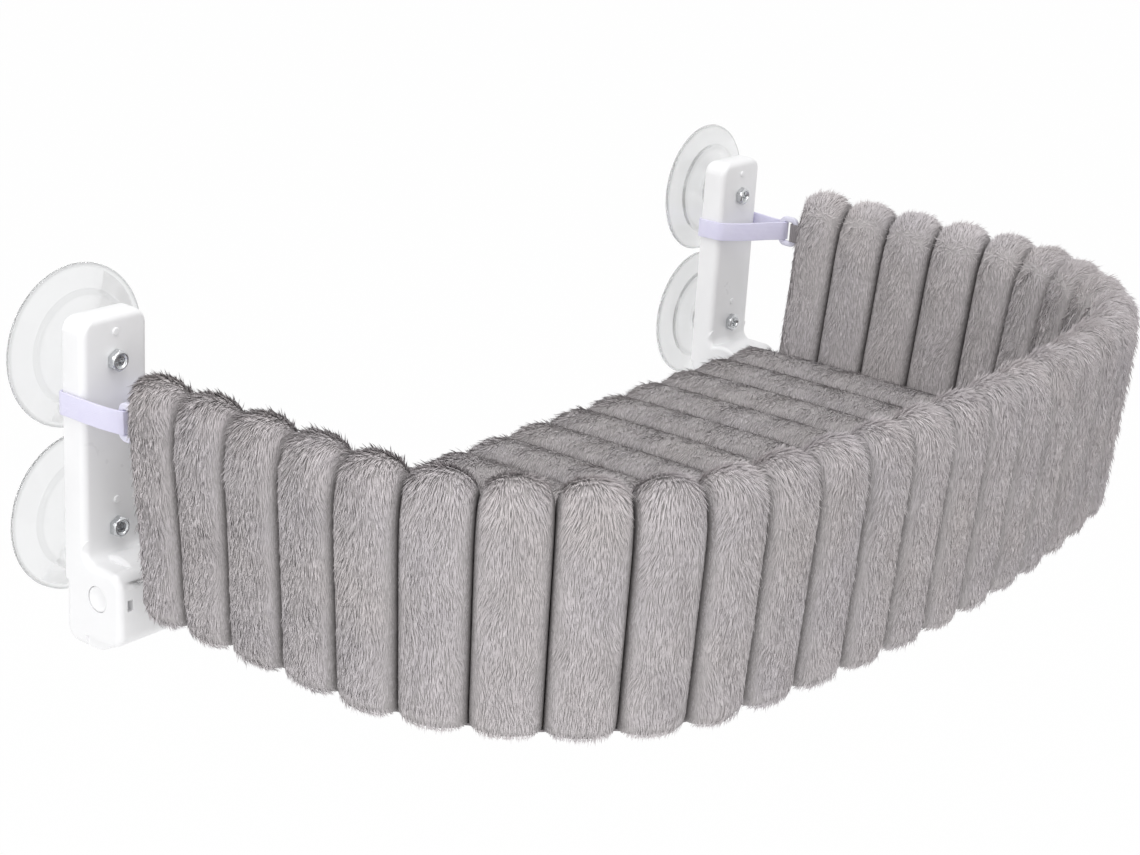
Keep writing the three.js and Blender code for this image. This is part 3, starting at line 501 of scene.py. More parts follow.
arm_half = 21
arm_top = 68
arm_front = -31
arm_back = -15.5
pivot_y = -40
pivot_z = -75.5
foot_top = pivot_z + 16.5
foot_bottom = pivot_z - 29
foot_front = pivot_y - 17
toe_rise = 8.5
heel_run = 24.5
arm_corner_round = 9
edge_round = 4
back_edge_round = 1
foot_round = 8
foot_edge = 3.8
heel_round = 10
mould_wall = 3
boss_radius = 8
boss_sunk = 1  # into the arm's front wall
rib_thickness = 2
rib_count = 5
pip_radius = 2
pip_rise = 14.5
pip_proud = 0.8
small_round = 0.6  # of bosses, pips and the slot
crown = 0.3  # height of the arm's slightly domed top
cell_round = 1.5  # of the hollows between the ribs, and of the notch
core_round = 1
bore_radius = 8.6
bore_end = -3.8
saddle_radius = 19.5
saddle_end = -9
saddle_from, saddle_to = math.radians(28), math.radians(152)
saddle_lap, saddle_round = 0.3, 2.5
window_height = 14
slot_size = (3.5, 6, 6)  # width, height, depth of the small slot in the foot's front
slot_place = -14.3
dimple_radius = 7
dimple_depth = 2
dimple_round = 0.5
notch_depth = 1.5
notch_height = 7
join_lap = 12  # how far arm and foot blanks run into each other
overrun = 2
core_wall = 3
head_pocket_radius = 4.9
head_pocket_depth = 4
screw_way_radius = 2.8
lap = 0.04  # foot blank within the arm blank, so that no two faces coincide
cup_levels = (44, -44)


def on_axis(a, b, depth, axis):
    """Points of an outline [a, b] at a depth along X, Y or Z: the three are turned round until depth
    lies on that axis."""
    triple = np.stack(np.broadcast_arrays(depth, a, b), -1)
    return np.roll(triple, {"X": 0, "Y": 1, "Z": 2}[axis], -1)


def signed_area(outline):
    """The area inside an outline, above 0 where it runs anticlockwise."""
    after = np.roll(outline, -1, 0)
    return (outline[:, 0] @ after[:, 1] - outline[:, 1] @ after[:, 0]) / 2


def slab(outline, start, end, edge, axis, steps=5):
    """An outline carried from start to end along an axis, with quarter round edges: at angle q from the
    face, the outline stands in by edge (1 - cos q) where the depth is edge (1 - sin q) from its end."""
    along = np.roll(outline, -1, 0) - np.roll(outline, 1, 0)
    inward = unit(np.column_stack([-along[:, 1], along[:, 0]])) * np.sign(signed_area(outline))
    q = np.linspace(np.pi / 2, 0, steps + 1)
    inset = np.concatenate([edge * (1 - np.cos(q)), edge * (1 - np.cos(q[::-1]))])
    depth = np.concatenate([start + edge * (1 - np.sin(q)), end - edge * (1 - np.sin(q[::-1]))])
    rings = outline[None] + inset[:, None, None] * inward[None]
    points = on_axis(rings[..., 0], rings[..., 1], depth[:, None], axis)
    count = len(outline)
    caps = [np.arange(count)[None], np.arange(count)[None, ::-1] + (len(depth) - 1) * count]
    return points.reshape(-1, 3), [lattice(len(depth), count, loop_columns=True)[:, ::-1], *caps]


def box_outline(a0, a1, b0, b1, radius=0.0):
    """A rectangle's four corners, each with this radius."""
    return rounded([[a0, b0, radius], [a1, b0, radius], [a1, b1, radius], [a0, b1, radius]])


def bar_outline(width, height, radius):
    """A rectangle of this width and height about the origin, its corners rounded."""
    return box_outline(-width / 2, width / 2, -height / 2, height / 2, radius)


def arm_skin():
    """Rings of a rounded rectangle in X and Y, one at each height. Half width and depth follow the
    quarter rounds of the arm's top, and the flat top is crowned by a tenth of a millimetre a ring so
    that the rings shrink evenly to a point."""
    height = np.concatenate([
        arm_top - crown * np.linspace(0, 1, 6) ** 2,
        arm_top - crown - (arm_corner_round - crown) * (1 - np.cos(np.linspace(0, np.pi / 2, 14)[1:])),
        np.linspace(arm_top - arm_corner_round, foot_top - join_lap, 22)[1:],
    ])
    below = arm_top - crown - height
    opening = np.clip((arm_top - height) / crown, 0, 1) ** 0.5

    def reach(radius):
        inside = np.clip(radius - below, 0, radius)
        return np.sqrt(np.maximum(radius ** 2 - inside ** 2, 0))

    half_x = (arm_half - arm_corner_round + reach(arm_corner_round)) * opening
    half_y = ((arm_back - arm_front) / 2 - edge_round + reach(edge_round)) * opening
    rings = []
    for x, y in zip(half_x, half_y):
        front, back = min(edge_round, x * 0.9, y * 0.9), min(back_edge_round, x * 0.9, y * 0.9)
        ring = rounded([[-x, -y, front], [x, -y, front], [x, y, back], [-x, y, back]], 5) if x > 0.01 else \
            np.zeros((24, 2))
        rings.append(ring)
    rings = np.stack(rings)
    middle = (arm_front + arm_back) / 2
    heights = np.broadcast_to(height[:, None], rings.shape[:2])
    points = np.stack([rings[..., 0], rings[..., 1] + middle, heights], -1)
    count = rings.shape[1]
    cap = np.arange(count)[None] + (len(height) - 1) * count
    return points.reshape(-1, 3), [lattice(len(height), count, loop_columns=True)[:, ::-1], cap]


def carved(body, joins, cuts):
    """The body with the joins added and then the cuts taken away, as one mesh. The tools are removed."""
    for tool, operation in [(tool, "UNION") for tool in joins] + [(tool, "DIFFERENCE") for tool in cuts]:
        step = body.modifiers.new(tool.name, "BOOLEAN")
        step.object, step.operation, step.solver = tool, operation, "EXACT"
    shaped = bpy.data.meshes.new_from_object(body.evaluated_get(bpy.context.evaluated_depsgraph_get()))
    body.modifiers.clear()
    body.data = shaped
    for tool in (*joins, *cuts):
        bpy.data.objects.remove(tool)
    return body


def disc(radius, a, b, sides=48):
    """A circle's points about a and b."""
    turn = all_round(sides)
    return np.column_stack([a + radius * np.cos(turn), b + radius * np.sin(turn)])


def tool(name, outline, start, end, edge=0.0, axis="X"):
    """A blank or a cutter of the bracket: an outline carried along an axis."""
    return piece(name, *slab(outline, start, end, edge, axis), white_abs)


def bracket_parts():
    """The blanks and cutters of the left bracket, with X from the bracket's middle."""
    foot = tool("foot", rounded([
        [arm_back - lap, foot_top + join_lap, 0],
        [arm_front + lap, foot_top + join_lap, 0],
        [arm_front + lap, foot_top, foot_round],
        [foot_front, foot_top, foot_round],
        [foot_front, foot_bottom + toe_rise, foot_round],
        [arm_back - heel_run, foot_bottom, heel_round],
        [arm_back - lap, foot_bottom, foot_round],
    ], 8), -arm_half + lap, arm_half - lap, foot_edge)
    saddle_arc = np.linspace(saddle_from, saddle_to, 28)
    saddle_outline = np.column_stack([pivot_y + saddle_radius * np.cos(saddle_arc),
                                      pivot_z + saddle_radius * np.sin(saddle_arc)])
    saddle = tool("saddle", saddle_outline, saddle_end, arm_half - saddle_lap, saddle_round)
    joins = [foot, saddle]
    for height in cup_levels:
        pip = disc(pip_radius, height + pip_rise, 0, 24)
        joins.append(tool("pip", pip, arm_front - pip_proud, arm_front + mould_wall, small_round, "Y"))
    low, high = foot_top + mould_wall, arm_top - mould_wall
    edges = low + (high - low) * np.arange(rib_count + 2) / (rib_count + 1)
    half = arm_half - mould_wall
    cells = [tool("cell", box_outline(bottom + rib_thickness / 2, top - rib_thickness / 2, -half, half,
                                      cell_round), arm_front + mould_wall, arm_back + overrun, axis="Y")
             for bottom, top in zip(edges, edges[1:])]
    return joins, cells


def bracket_form():
    """The left bracket: arm and foot joined, hollowed at the back, then the bosses put back and the
    bores, slots and recesses cut."""
    body = carved(piece("bracket", *arm_skin(), white_abs), *bracket_parts())
    bosses = [tool("boss", disc(boss_radius, height, 0), arm_front + boss_sunk, arm_back, small_round, "Y")
              for height in cup_levels]
    holes = [tool("hole", disc(washer_bore, height, 0, 32), arm_front - overrun, arm_back + overrun, axis="Y")
             for height in cup_levels]
    inner, outer = arm_half + overrun, -arm_half - overrun
    slot_low, slot_high = slot_place - slot_size[0] / 2, slot_place + slot_size[0] / 2
    holes += [
        tool("bore", disc(bore_radius, pivot_y, pivot_z), bore_end, inner),
        tool("window", box_outline(foot_front - overrun, pivot_y, pivot_z - window_height / 2,
                                   pivot_z + window_height / 2), bore_end, inner),
        tool("dimple", disc(dimple_radius, pivot_y, pivot_z), outer, -arm_half + dimple_depth, dimple_round),
        tool("head_pocket", disc(head_pocket_radius, pivot_y, pivot_z, 32), outer,
             -arm_half + dimple_depth + head_pocket_depth),
        tool("screw_way", disc(screw_way_radius, pivot_y, pivot_z, 24), outer, bore_end + overrun),
        tool("slot", box_outline(foot_front - overrun, foot_front + slot_size[2], pivot_z - slot_size[1] / 2,
                                 pivot_z + slot_size[1] / 2, small_round), slot_low, slot_high),
        tool("notch", box_outline(foot_front - overrun, arm_front, foot_bottom - overrun,
                                  foot_bottom + notch_height, cell_round), outer, -arm_half + notch_depth),
        tool("core", box_outline(foot_front + foot_round, arm_back - core_wall, foot_bottom - overrun,
                                 pivot_z - bore_radius - core_wall, core_round), -arm_half + core_wall,
             arm_half - core_wall),
    ]
    return carved(body, bosses, holes)


def mirrored_copy(name, source, x_sign, x):
    """The source's mesh placed at x, mirrored across its own middle where the sign is -1. Mirroring
    turns the faces inside out, so they are reversed."""
    mesh = source.data.copy()
    points = np.empty(len(mesh.vertices) * 3, np.float32)
    mesh.vertices.foreach_get("co", points)
    points = points.reshape(-1, 3) * (x_sign, 1, 1) + (x * MM, 0, 0)
    mesh.vertices.foreach_set("co", points.astype(np.float32).ravel())
    if x_sign < 0:
        mesh.flip_normals()
    mesh.update()
    return placed(name, mesh)


bracket_source = bracket_form()
shade_smooth(bracket_source.data, crease)
signs = {"left": 1, "right": -1}
bracket_x = {side: box_of(f"{side}_bracket").mean(0)[0] for side in sides_of_bed}
for side in sides_of_bed:
    bracket = mirrored_copy(f"{side}_moulded_bracket", bracket_source, signs[side], bracket_x[side])
    weigh = bracket.modifiers.new("even_shading", "WEIGHTED_NORMAL")
    weigh.keep_sharp = True
    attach(bracket, "mount")
    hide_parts(f"{side}_bracket")
bpy.data.objects.remove(bracket_source)
kept_cad([f"{side}_tube_plug" for side in sides_of_bed], white_abs)
kept_cad([f"{side}_pivot_screw" for side in sides_of_bed], zinc_plate)


# Pivot caps: ABS discs pressed into the round dimples over the pivot screws, each with a dished face.
cap_steps, cap_sides = 12, 64
cap_dish = 0.85  # of its thickness
cap_lip, lip_round, lip_share = 0.9, 0.3, 0.2  # the lip's width, its rounded part and that part's depth
pinhole = 0.01
for side in sides_of_bed:
    cap_low, cap_high = box_of(f"{side}_pivot_cap")
    cap_radius = (cap_high[2] - cap_low[2]) / 2
    face, back = (cap_low[0], cap_high[0]) if side == "left" else (cap_high[0], cap_low[0])
    dish = np.linspace(0, 1, cap_steps)
    hollow = (back - face) * cap_dish
    profile = np.vstack([
        np.column_stack([pinhole + (cap_radius - cap_lip) * dish, face + hollow * (1 - dish ** 2)]),
        [[cap_radius - lip_round, face], [cap_radius, face + lip_share * hollow], [cap_radius, back],
         [pinhole, back]]])
    _, y, z = (cap_low + cap_high) / 2
    skin = turned(profile, cap_sides, y, z)[..., [1, 0, 2]]
    cap = piece(f"{side}_dished_cap", skin, ring_faces(skin), white_abs)
    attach(cap, "mount")
    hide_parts(f"{side}_pivot_cap")


# Pivot sleeves: moulded nylon, one on each end of the tube, that turn in the feet's bores. Nylon moulds
# with a slightly waxy, bluish white skin. They turn with the bed.
white_nylon = mottled("moulded_white_nylon", 140.0, 3.0, ("#DCDBEC", "#E6E5F2"), (0.38, 0.52), {
    "IOR": 1.53, "Subsurface Weight": 0.08, "Subsurface Radius": (0.002, 0.002, 0.002),
    "Subsurface Scale": 0.5}, dent=(0.08, 0.001))

tube_radius = 7
tube_clear = 0.3
sleeve_end = -3.5
sleeve_wall = 1
sleeve_length = 27.5
sleeve_hole = 2.8
sleeve_round = 0.4
sleeve_inner = tube_radius + tube_clear
sleeve_outer = sleeve_inner + sleeve_wall
for side in sides_of_bed:
    far, floor_x = sleeve_end + sleeve_length, sleeve_end + sleeve_wall
    profile = rounded([
        [sleeve_hole, sleeve_end, 0], [sleeve_outer, sleeve_end, sleeve_round],
        [sleeve_outer, far, sleeve_round], [sleeve_inner, far, sleeve_round],
        [sleeve_inner, floor_x, 0], [sleeve_hole, floor_x, 0]], 4)
    skin = turned(profile, cap_sides)[..., [1, 0, 2]]
    skin = skin * (signs[side], 1, 1) + (bracket_x[side], pivot_y, pivot_z)
    sleeve = piece(f"{side}_nylon_sleeve", skin, ring_faces(skin), white_nylon)
    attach(sleeve, "bed")
    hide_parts(f"{side}_pivot_sleeve")


# Frame: one 14 mm steel tube bent in a U in two halves over a spigot, and a thinner rail welded between
# its side runs. It is powder coated in a dark grey, which leaves a fine pebbled skin.
powder_coat, tree, place = new_material("powder_coated_steel")
pebble = add(tree, "TexNoise", {"Vector": place, "Scale": 1400.0, "Detail": 2.0})
rub = add(tree, "TexNoise", {"Vector": place, "Scale": 90.0, "Detail": 4.0})
tint = add(tree, "Mix", {0: rub, 6: linear("#333438"), 7: linear("#45464A")}, 2, data_type="RGBA")
worn = add(tree, "MapRange", {"Value": rub, "To Min": 0.42, "To Max": 0.6})
dent = add(tree, "Bump", {"Height": pebble, "Strength": 0.25, "Distance": 0.0006})
shade = add(tree, "BsdfPrincipled", {"Base Color": tint, "Roughness": worn, "Normal": dent})
add(tree, "OutputMaterial", {"Surface": shade})


def swept(path, profile, closed_path=False, up=(0, 0, 1)):
    """A profile [out, up] carried along a path: out is the tangent crossed with up, and the second
    direction is out crossed with the tangent."""
    run = unit(np.roll(path, -1, 0) - np.roll(path, 1, 0) if closed_path else np.gradient(path, axis=0))
    out = unit(np.cross(run, up))
    over = np.cross(out, run)
    return path[:, None] + profile[None, :, :1] * out[:, None] + profile[None, :, 1:] * over[:, None]


def tube_faces(skin):
    """Faces of an open sweep: its quads and a flat face over each end."""
    rows, columns = skin.shape[:2]
    ends = [np.arange(columns)[None, ::-1], np.arange(columns)[None] + (rows - 1) * columns]
    return [lattice(rows, columns, loop_columns=True), *ends]


tube_sides = 28
bend_radius = 24
stub_run = 26
frame_corner = 85
frame_reach = 318
bow_angle = math.radians(20)
tube_start = bracket_x["left"] + sleeve_end + sleeve_wall + tube_clear
side_run_x = bracket_x["left"] + stub_run + bend_radius
bow_radius = frame_corner + (-side_run_x - frame_corner) / math.sin(bow_angle)


def frame_line(shortfall):
    """The left half of the tube's centre line: a straight stub along X, a bend back along -Y, the side
    run, a corner arc and half of the wide arc across the front, less the shortfall at its end."""
    corner_turn = math.pi / 2 - bow_angle
    corner_x = side_run_x + frame_corner
    corner_y = -frame_reach + bow_radius * (1 - math.cos(bow_angle)) + frame_corner * math.cos(bow_angle)
    bend_x = side_run_x - bend_radius
    q = np.linspace(0, math.pi / 2, 14)
    c = np.linspace(0, corner_turn, 24)
    w = np.linspace(bow_angle, shortfall / bow_radius, 40)
    runs = [
        np.column_stack([np.linspace(tube_start, bend_x, 6), np.full(6, float(pivot_y))])[:-1],
        np.column_stack([bend_x + bend_radius * np.sin(q), pivot_y - bend_radius * (1 - np.cos(q))])[:-1],
        np.column_stack([np.full(24, side_run_x), np.linspace(pivot_y - bend_radius, corner_y, 24)])[:-1],
        np.column_stack([corner_x - frame_corner * np.cos(c), corner_y - frame_corner * np.sin(c)])[:-1],
        np.column_stack([-bow_radius * np.sin(w), -frame_reach + bow_radius * (1 - np.cos(w))]),
    ]
    line = np.vstack(runs)
    return np.column_stack([line, np.full(len(line), pivot_z)])


half_line = frame_line(tube_clear / 2)
for side in sides_of_bed:
    skin = swept(half_line, disc(tube_radius, 0, 0, tube_sides)) * (signs[side], 1, 1)
    tube = piece(f"{side}_steel_tube", skin, tube_faces(skin), powder_coat)
    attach(tube, "bed")
    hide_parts(f"{side}_frame_tube")
rail_y = -84
rail_radius = 6
rail_line = np.column_stack([np.linspace(side_run_x + tube_radius - 1, -side_run_x - tube_radius + 1, 40),
                             np.full(40, float(rail_y)), np.full(40, pivot_z)])
skin = swept(rail_line, disc(rail_radius, 0, 0, tube_sides))
rail = piece("rear_cross_rail", skin, tube_faces(skin), powder_coat)
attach(rail, "bed")
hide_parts("rear_rail")
kept_cad(["frame_spigot"], zinc_plate)


# The bed's plan: the wall's outer seam line, which the wall, the base, the zip and the pad all follow.
# Straight sides, round corners and a front that bows towards the room.
seam_half = 296.5
bed_rear = 70
seam_reach = 323
front_bow = 43
corner_radius = 112


def plan_line():
    """Points [x, y] from the left end round the front to the right end: sides at x = -/+ seam_half,
    quarter circles, and a straight front, then moved forwards by bow (1 - (x / half)^2) times the
    square of the share of the way from the rear to the front."""
    turn_y = -seam_reach + corner_radius
    t = np.linspace(0, 1, 120, endpoint=False)
    c, s = np.cos(t * math.pi / 2), np.sin(t * math.pi / 2)
    half = np.vstack([
        np.column_stack([0 * t - seam_half, -bed_rear + (turn_y + bed_rear) * t]),
        np.column_stack([-seam_half + corner_radius * (1 - c), turn_y - corner_radius * s]),
        np.column_stack([(-seam_half + corner_radius) * (1 - t), 0 * t - seam_reach]),
    ])
    middle = np.array([[0.0, -seam_reach]])
    line = np.vstack([half, middle, half[::-1] * (-1, 1)])
    forward = (-line[:, 1] - bed_rear) / (seam_reach - bed_rear)
    line[:, 1] -= front_bow * (1 - (line[:, 0] / seam_half) ** 2) * forward ** 2
    return line


plan = plan_line()
plan_run = unit(np.gradient(plan, axis=0))
plan_inward = np.column_stack([-plan_run[:, 1], plan_run[:, 0]])
plan_at = run_of(plan)
plan_length = plan_at[-1]
wall_channels = 30
wall_pitch = plan_length / wall_channels


def on_plan(distance, inset):
    """The place x, y at a distance along the seam line, moved inwards by the inset. Past either end the
    line goes on straight along Y."""
    past = np.minimum(distance, 0) + np.maximum(distance - plan_length, 0)
    x, y = (np.interp(distance, plan_at, along) + inset * np.interp(distance, plan_at, inward)
            for along, inward in zip(plan.T, plan_inward.T))
    return x, y + np.abs(past)


# Base board: 3 mm hardboard that keeps the pad flat over the tube, pressed from brown wood fibre and
# cut to the plan with round corners.
hardboard = mottled("pressed_hardboard", 350.0, 5.0, ("#7C6548", "#A98E6B"), 0.8, {}, dent=(0.3, 0.0005))

base_rear = 62
board_inset = 9
rear_corner = 20


def base_edge(inset):
    """The base's outline from its rear left to its rear right, round the front: a quarter circle at each
    rear corner, and the plan line between them."""
    turn = np.linspace(0, np.pi / 2, 9)
    from_rear = base_rear + rear_corner - bed_rear
    x, y = on_plan(np.linspace(from_rear, plan_length - from_rear, 240), inset)
    arc_x = x[0] + rear_corner * (1 - np.sin(turn))
    arc_y = -base_rear - rear_corner * (1 - np.cos(turn))
    left = np.column_stack([arc_x, arc_y])[:-1]
    return np.vstack([left, np.column_stack([x, y]), left[::-1] * (-1, 1)])


board_low, board_high = box_of("base_board")[:, 2]
board = piece("pressed_board", *slab(base_edge(board_inset), board_low, board_high, 0.4, "Z"), hardboard)
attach(board, "bed")
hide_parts("base_board")


# Base cover: a woven polyester underside, stretched over the board and sewn to the wall's foot all
# round. A plain weave, its threads 0.7 mm apart, drawn at twice that so that the render holds it.
woven_polyester, tree, place = new_material("woven_polyester")
thread_pitch = 1.4 * MM
wave_scale = 2 * math.pi / thread_pitch / 20  # a Wave texture repeats every 2 pi / 20 of its own unit
warp, weft = (add(tree, "TexWave", {"Vector": place, "Scale": wave_scale, "Distortion": 0.6, "Detail": 1.0},
                  "Fac", bands_direction=axis) for axis in "XY")
weave = add(tree, "Math", {0: warp, 1: weft}, operation="MULTIPLY")
fade = add(tree, "TexNoise", {"Vector": place, "Scale": 25.0, "Detail": 3.0})
mixing = add(tree, "Math", {0: weave, 1: fade}, operation="ADD")
half_mix = add(tree, "Math", {0: mixing, 1: 0.5}, operation="MULTIPLY")
tint = add(tree, "Mix", {0: half_mix, 6: linear("#716C6E"), 7: linear("#A29D9F")}, 2, data_type="RGBA")
dent = add(tree, "Bump", {"Height": weave, "Strength": 0.5, "Distance": 0.0004})
shade = add(tree, "BsdfPrincipled", {
    "Base Color": tint, "Roughness": 0.88, "Normal": dent,
    "Sheen Weight": 0.2, "Sheen Roughness": 0.5})
add(tree, "OutputMaterial", {"Surface": shade})

cover_inset = 6
cover_low, cover_high = box_of("base_cover")[:, 2]
cover_rows = 46
spine_share = 0.55
pucker_height = 0.25


def cover_sheet(level):
    """A level sheet inside the base's edge. Each column runs from a point of the rear line, at a share
    of the edge point's x, out to the edge, where its seam puckers it a little."""
    edge_x, edge_y = base_edge(cover_inset).T
    share = np.linspace(0, 1, cover_rows)[:, None]
    spine_x = edge_x * spine_share
    x, y = spine_x + (edge_x - spine_x) * share, -base_rear + (edge_y + base_rear) * share
    pucker = pucker_height * np.sin(np.arange(len(edge_x)) * 2.1) * smooth_step(share, 0.86, 1.0)
    return np.stack([x, y, level + pucker], -1)


def doubled(top, bottom):
    """Points and faces of two equal grids, one over the other, closed all round: the second grid is wound
    the other way, and a strip of quads joins their borders."""
    rows, columns = top.shape[:2]
    faces = lattice(rows, columns)
    border = np.concatenate([
        np.arange(columns), np.arange(1, rows) * columns + columns - 1,
        (rows - 1) * columns + np.arange(columns - 2, -1, -1), np.arange(rows - 2, 0, -1) * columns])
    after = np.roll(border, -1)
    count = rows * columns
    strip = np.column_stack([border, border + count, after + count, after])
    return np.concatenate([top.reshape(-1, 3), bottom.reshape(-1, 3)]), [faces, faces[:, ::-1] + count, strip]


cover = piece("woven_base_cover", *doubled(cover_sheet(cover_high), cover_sheet(cover_low)), woven_polyester)
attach(cover, "bed")
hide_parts("base_cover")


# Edge binding: a strip of the same cloth folded over the rear edges of the board and its cover, sewn
# to the cover and tucked under the pad.
binding_thickness = 0.7
binding_gap = 0.05
binding_lip = 5
fold_inner, fold_outer, hem_round = 0.1, 0.6, 0.3
binding_facing = 17  # over the board's corners, which the pad leaves bare
rear_left = base_edge(cover_inset)[8::-1]
binding_line = np.vstack([rear_left, rear_left[::-1] * (-1, 1)])
binding_path = np.column_stack([binding_line, np.zeros(len(binding_line))])
top, bottom = board_high + binding_gap, cover_low - binding_gap
binding_section = rounded([
    [binding_facing, top, 0], [-binding_gap, top, fold_inner], [-binding_gap, bottom, fold_inner],
    [binding_lip, bottom, 0],
    [binding_lip, bottom - binding_thickness, hem_round],
    [-binding_thickness, bottom - binding_thickness, fold_outer],
    [-binding_thickness, top + binding_thickness, fold_outer],
    [binding_facing, top + binding_thickness, hem_round]], 4)
skin = swept(binding_path, binding_section)
binding = piece("rear_edge_binding", skin, tube_faces(skin), woven_polyester)
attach(binding, "bed")


# Frame tunnels: strips of the same cloth laid under the tube and sewn to the cover along both edges.
tunnel_cloth = 1
tunnel_hem = 10
rail_gap = 8
tunnel_inner = tube_radius + tube_clear
tunnel_outer = tunnel_inner + tunnel_cloth
stub_length = stub_run - (sleeve_end + sleeve_wall + tube_clear)
rail_along = stub_length + (math.pi / 2 - 1) * bend_radius - rail_y + pivot_y
tunnel_start = rail_along + rail_radius + rail_gap


def tunnel_section():
    """The strip's section [across, up] about the tube's axis: two flat hems at the tube's top, joined by
    a half circle under the tube, and the same line a cloth thickness inside it."""
    turn = np.linspace(0, np.pi, 17)
    top = tube_radius - 0.02
    outside = np.column_stack([tunnel_outer * np.cos(turn), -tunnel_outer * np.sin(turn)])
    inside = np.column_stack([tunnel_inner * np.cos(turn[::-1]), -tunnel_inner * np.sin(turn[::-1])])
    hem = tunnel_outer + tunnel_hem
    return np.vstack([
        [[hem, top], [hem, top - tunnel_cloth], [tunnel_outer, top - tunnel_cloth]], outside,
        [[-tunnel_outer, top - tunnel_cloth], [-hem, top - tunnel_cloth], [-hem, top], [-tunnel_inner, top]],
        inside, [[tunnel_inner, top]]])


line_at = run_of(half_line)
tunnel_line = read_at(np.linspace(tunnel_start, line_at[-1], 150), line_at, half_line)
section = tunnel_section()
for side in sides_of_bed:
    skin = swept(tunnel_line, section) * (signs[side], 1, 1)
    tunnel = piece(f"{side}_cloth_tunnel", skin, tube_faces(skin), woven_polyester)
    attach(tunnel, "bed")
    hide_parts(f"{side}_frame_tunnel")


# Zip round the cover's underside: a woven tape with a nylon coil of teeth down its middle, and a small
# dark zinc slider parked at the left rear, with its pull tab lying forwards.
zip_inset = 20
zip_half = 8
tape_thickness = 1
tooth_pitch = 1.8
tooth_size = (1.1, 2.6, 1.0)  # along the tape, across it, proud of it
tooth_sunk = 0.15
tooth_offset = 0.28  # of its width to either side of the tape's middle, in turn
zip_high = box_of("zip_tape")[1][2]
zip_low = zip_high - tape_thickness
tape_columns, tape_rows = 420, 5
tape_ripple, ripple_run = 0.1, 9


def tape_sheet(level):
    """The tape between zip_inset -/+ zip_half, slightly wavy."""
    distance = np.linspace(0, plan_length, tape_columns)[None]
    inset = zip_inset + zip_half * np.linspace(-1, 1, tape_rows)[:, None]
    x, y = on_plan(distance, inset)
    return np.stack([x, y, level + tape_ripple * np.sin(distance / ripple_run + inset)], -1)


tape_faces = doubled(tape_sheet(zip_high - tape_ripple), tape_sheet(zip_low))
tape = piece("zip_woven_tape", *tape_faces, woven_polyester)
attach(tape, "bed")
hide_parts("zip_tape")

zip_nylon = mottled("nylon_zip_coil", 300.0, 2.0, ("#6B6668", "#87827F"), 0.42, {"IOR": 1.53})
# A tooth is a block whose free end is drawn in. One stands at each place, turned to run along the tape
block_corners = np.array([[x, y, z] for x in (-0.5, 0.5) for y in (-0.5, 0.5) for z in (0, 1)], float)
block_corners[1::2] *= (0.6, 0.8, 1)
block_faces = np.array([[0, 1, 3, 2], [4, 6, 7, 5], [0, 4, 5, 1], [2, 3, 7, 6], [0, 2, 6, 4], [1, 5, 7, 3]])
tooth_at = np.arange(6, plan_length - 6, tooth_pitch / 2)
tooth_side = np.where(np.arange(len(tooth_at)) % 2, 1.0, -1.0)
tooth_inset = zip_inset + tooth_side * tooth_size[1] * tooth_offset
tooth_x, tooth_y = on_plan(tooth_at, tooth_inset)
ahead_x, ahead_y = on_plan(tooth_at + 1, tooth_inset)
along = unit(np.column_stack([ahead_x - tooth_x, ahead_y - tooth_y, 0 * tooth_x]))
out = np.cross(along, (0, 0, 1))
tooth_foot = np.column_stack([tooth_x, tooth_y, np.full(len(tooth_x), zip_low + tooth_sunk)])
block = block_corners * tooth_size
teeth_points = (tooth_foot[:, None] + block[:, :1] * along[:, None] + block[:, 1:2] * out[:, None]
                + block[:, 2:] * (0, 0, -1))
teeth_faces = (block_faces[None] + np.arange(len(tooth_at))[:, None, None] * 8).reshape(-1, 4)
teeth = piece("zip_coil_teeth", teeth_points, teeth_faces, zip_nylon)
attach(teeth, "bed")

dark_zinc = mottled("dark_plated_zinc", 500.0, 3.0, ("#3B3C3F", "#6D6E70"), (0.25, 0.45), {"Metallic": 1.0})

slider_low, slider_high = box_of("zip_slider")
slider_length = 11
slider_width = 8
nose_share = 0.32  # half of the slider's narrow end, as a share of its width
bridge_reach, bridge_rise, bridge_sunk = 3.2, 1.5, 0.6
bridge_bar = (1.8, 1.0, 0.3)  # width, thickness and edge radius
slider_height = 3.5
nose_round, tail_round, tail_notch, slider_edge = 1.2, 1.8, 0.6, 0.5
pull_length = 15.5
pull_width = 5
pull_thickness = 1.4
pull_share = 0.36  # half of the pull's narrow end, as a share of its width
pull_head, head_round, pull_round, pull_edge = 1.5, 1.4, 2.2, 0.3  # the head is the end at the bridge
pull_sunk = 0.6  # share of the pull's thickness above the slider's underside
eye_radius, eye_inset = 1.2, 3.4
slider_x = (slider_low[0] + slider_high[0]) / 2
slider_y = slider_high[1] - slider_length / 2
slider_top = slider_high[2]
pull_level = slider_top - slider_height
nose_y, tail_y = slider_y + slider_length / 2, slider_y - slider_length / 2
slider_plan = rounded([
    [slider_x - slider_width * nose_share, nose_y, nose_round],
    [slider_x + slider_width * nose_share, nose_y, nose_round],
    [slider_x + slider_width / 2, tail_y, tail_round],
    [slider_x, tail_y + nose_round, tail_notch],
    [slider_x - slider_width / 2, tail_y, tail_round],
][::-1])
body = piece("zip_slider_body", *slab(slider_plan, pull_level, slider_top, slider_edge, "Z"), dark_zinc)
turn = np.linspace(0, math.pi, 12)
bridge_line = np.column_stack([0 * turn + slider_x, slider_y + bridge_reach * np.cos(turn),
                               pull_level + bridge_sunk - bridge_rise * np.sin(turn)])
skin = swept(bridge_line, bar_outline(*bridge_bar), up=(1, 0, 0))
bridge = piece("zip_slider_bridge", skin, tube_faces(skin), dark_zinc)
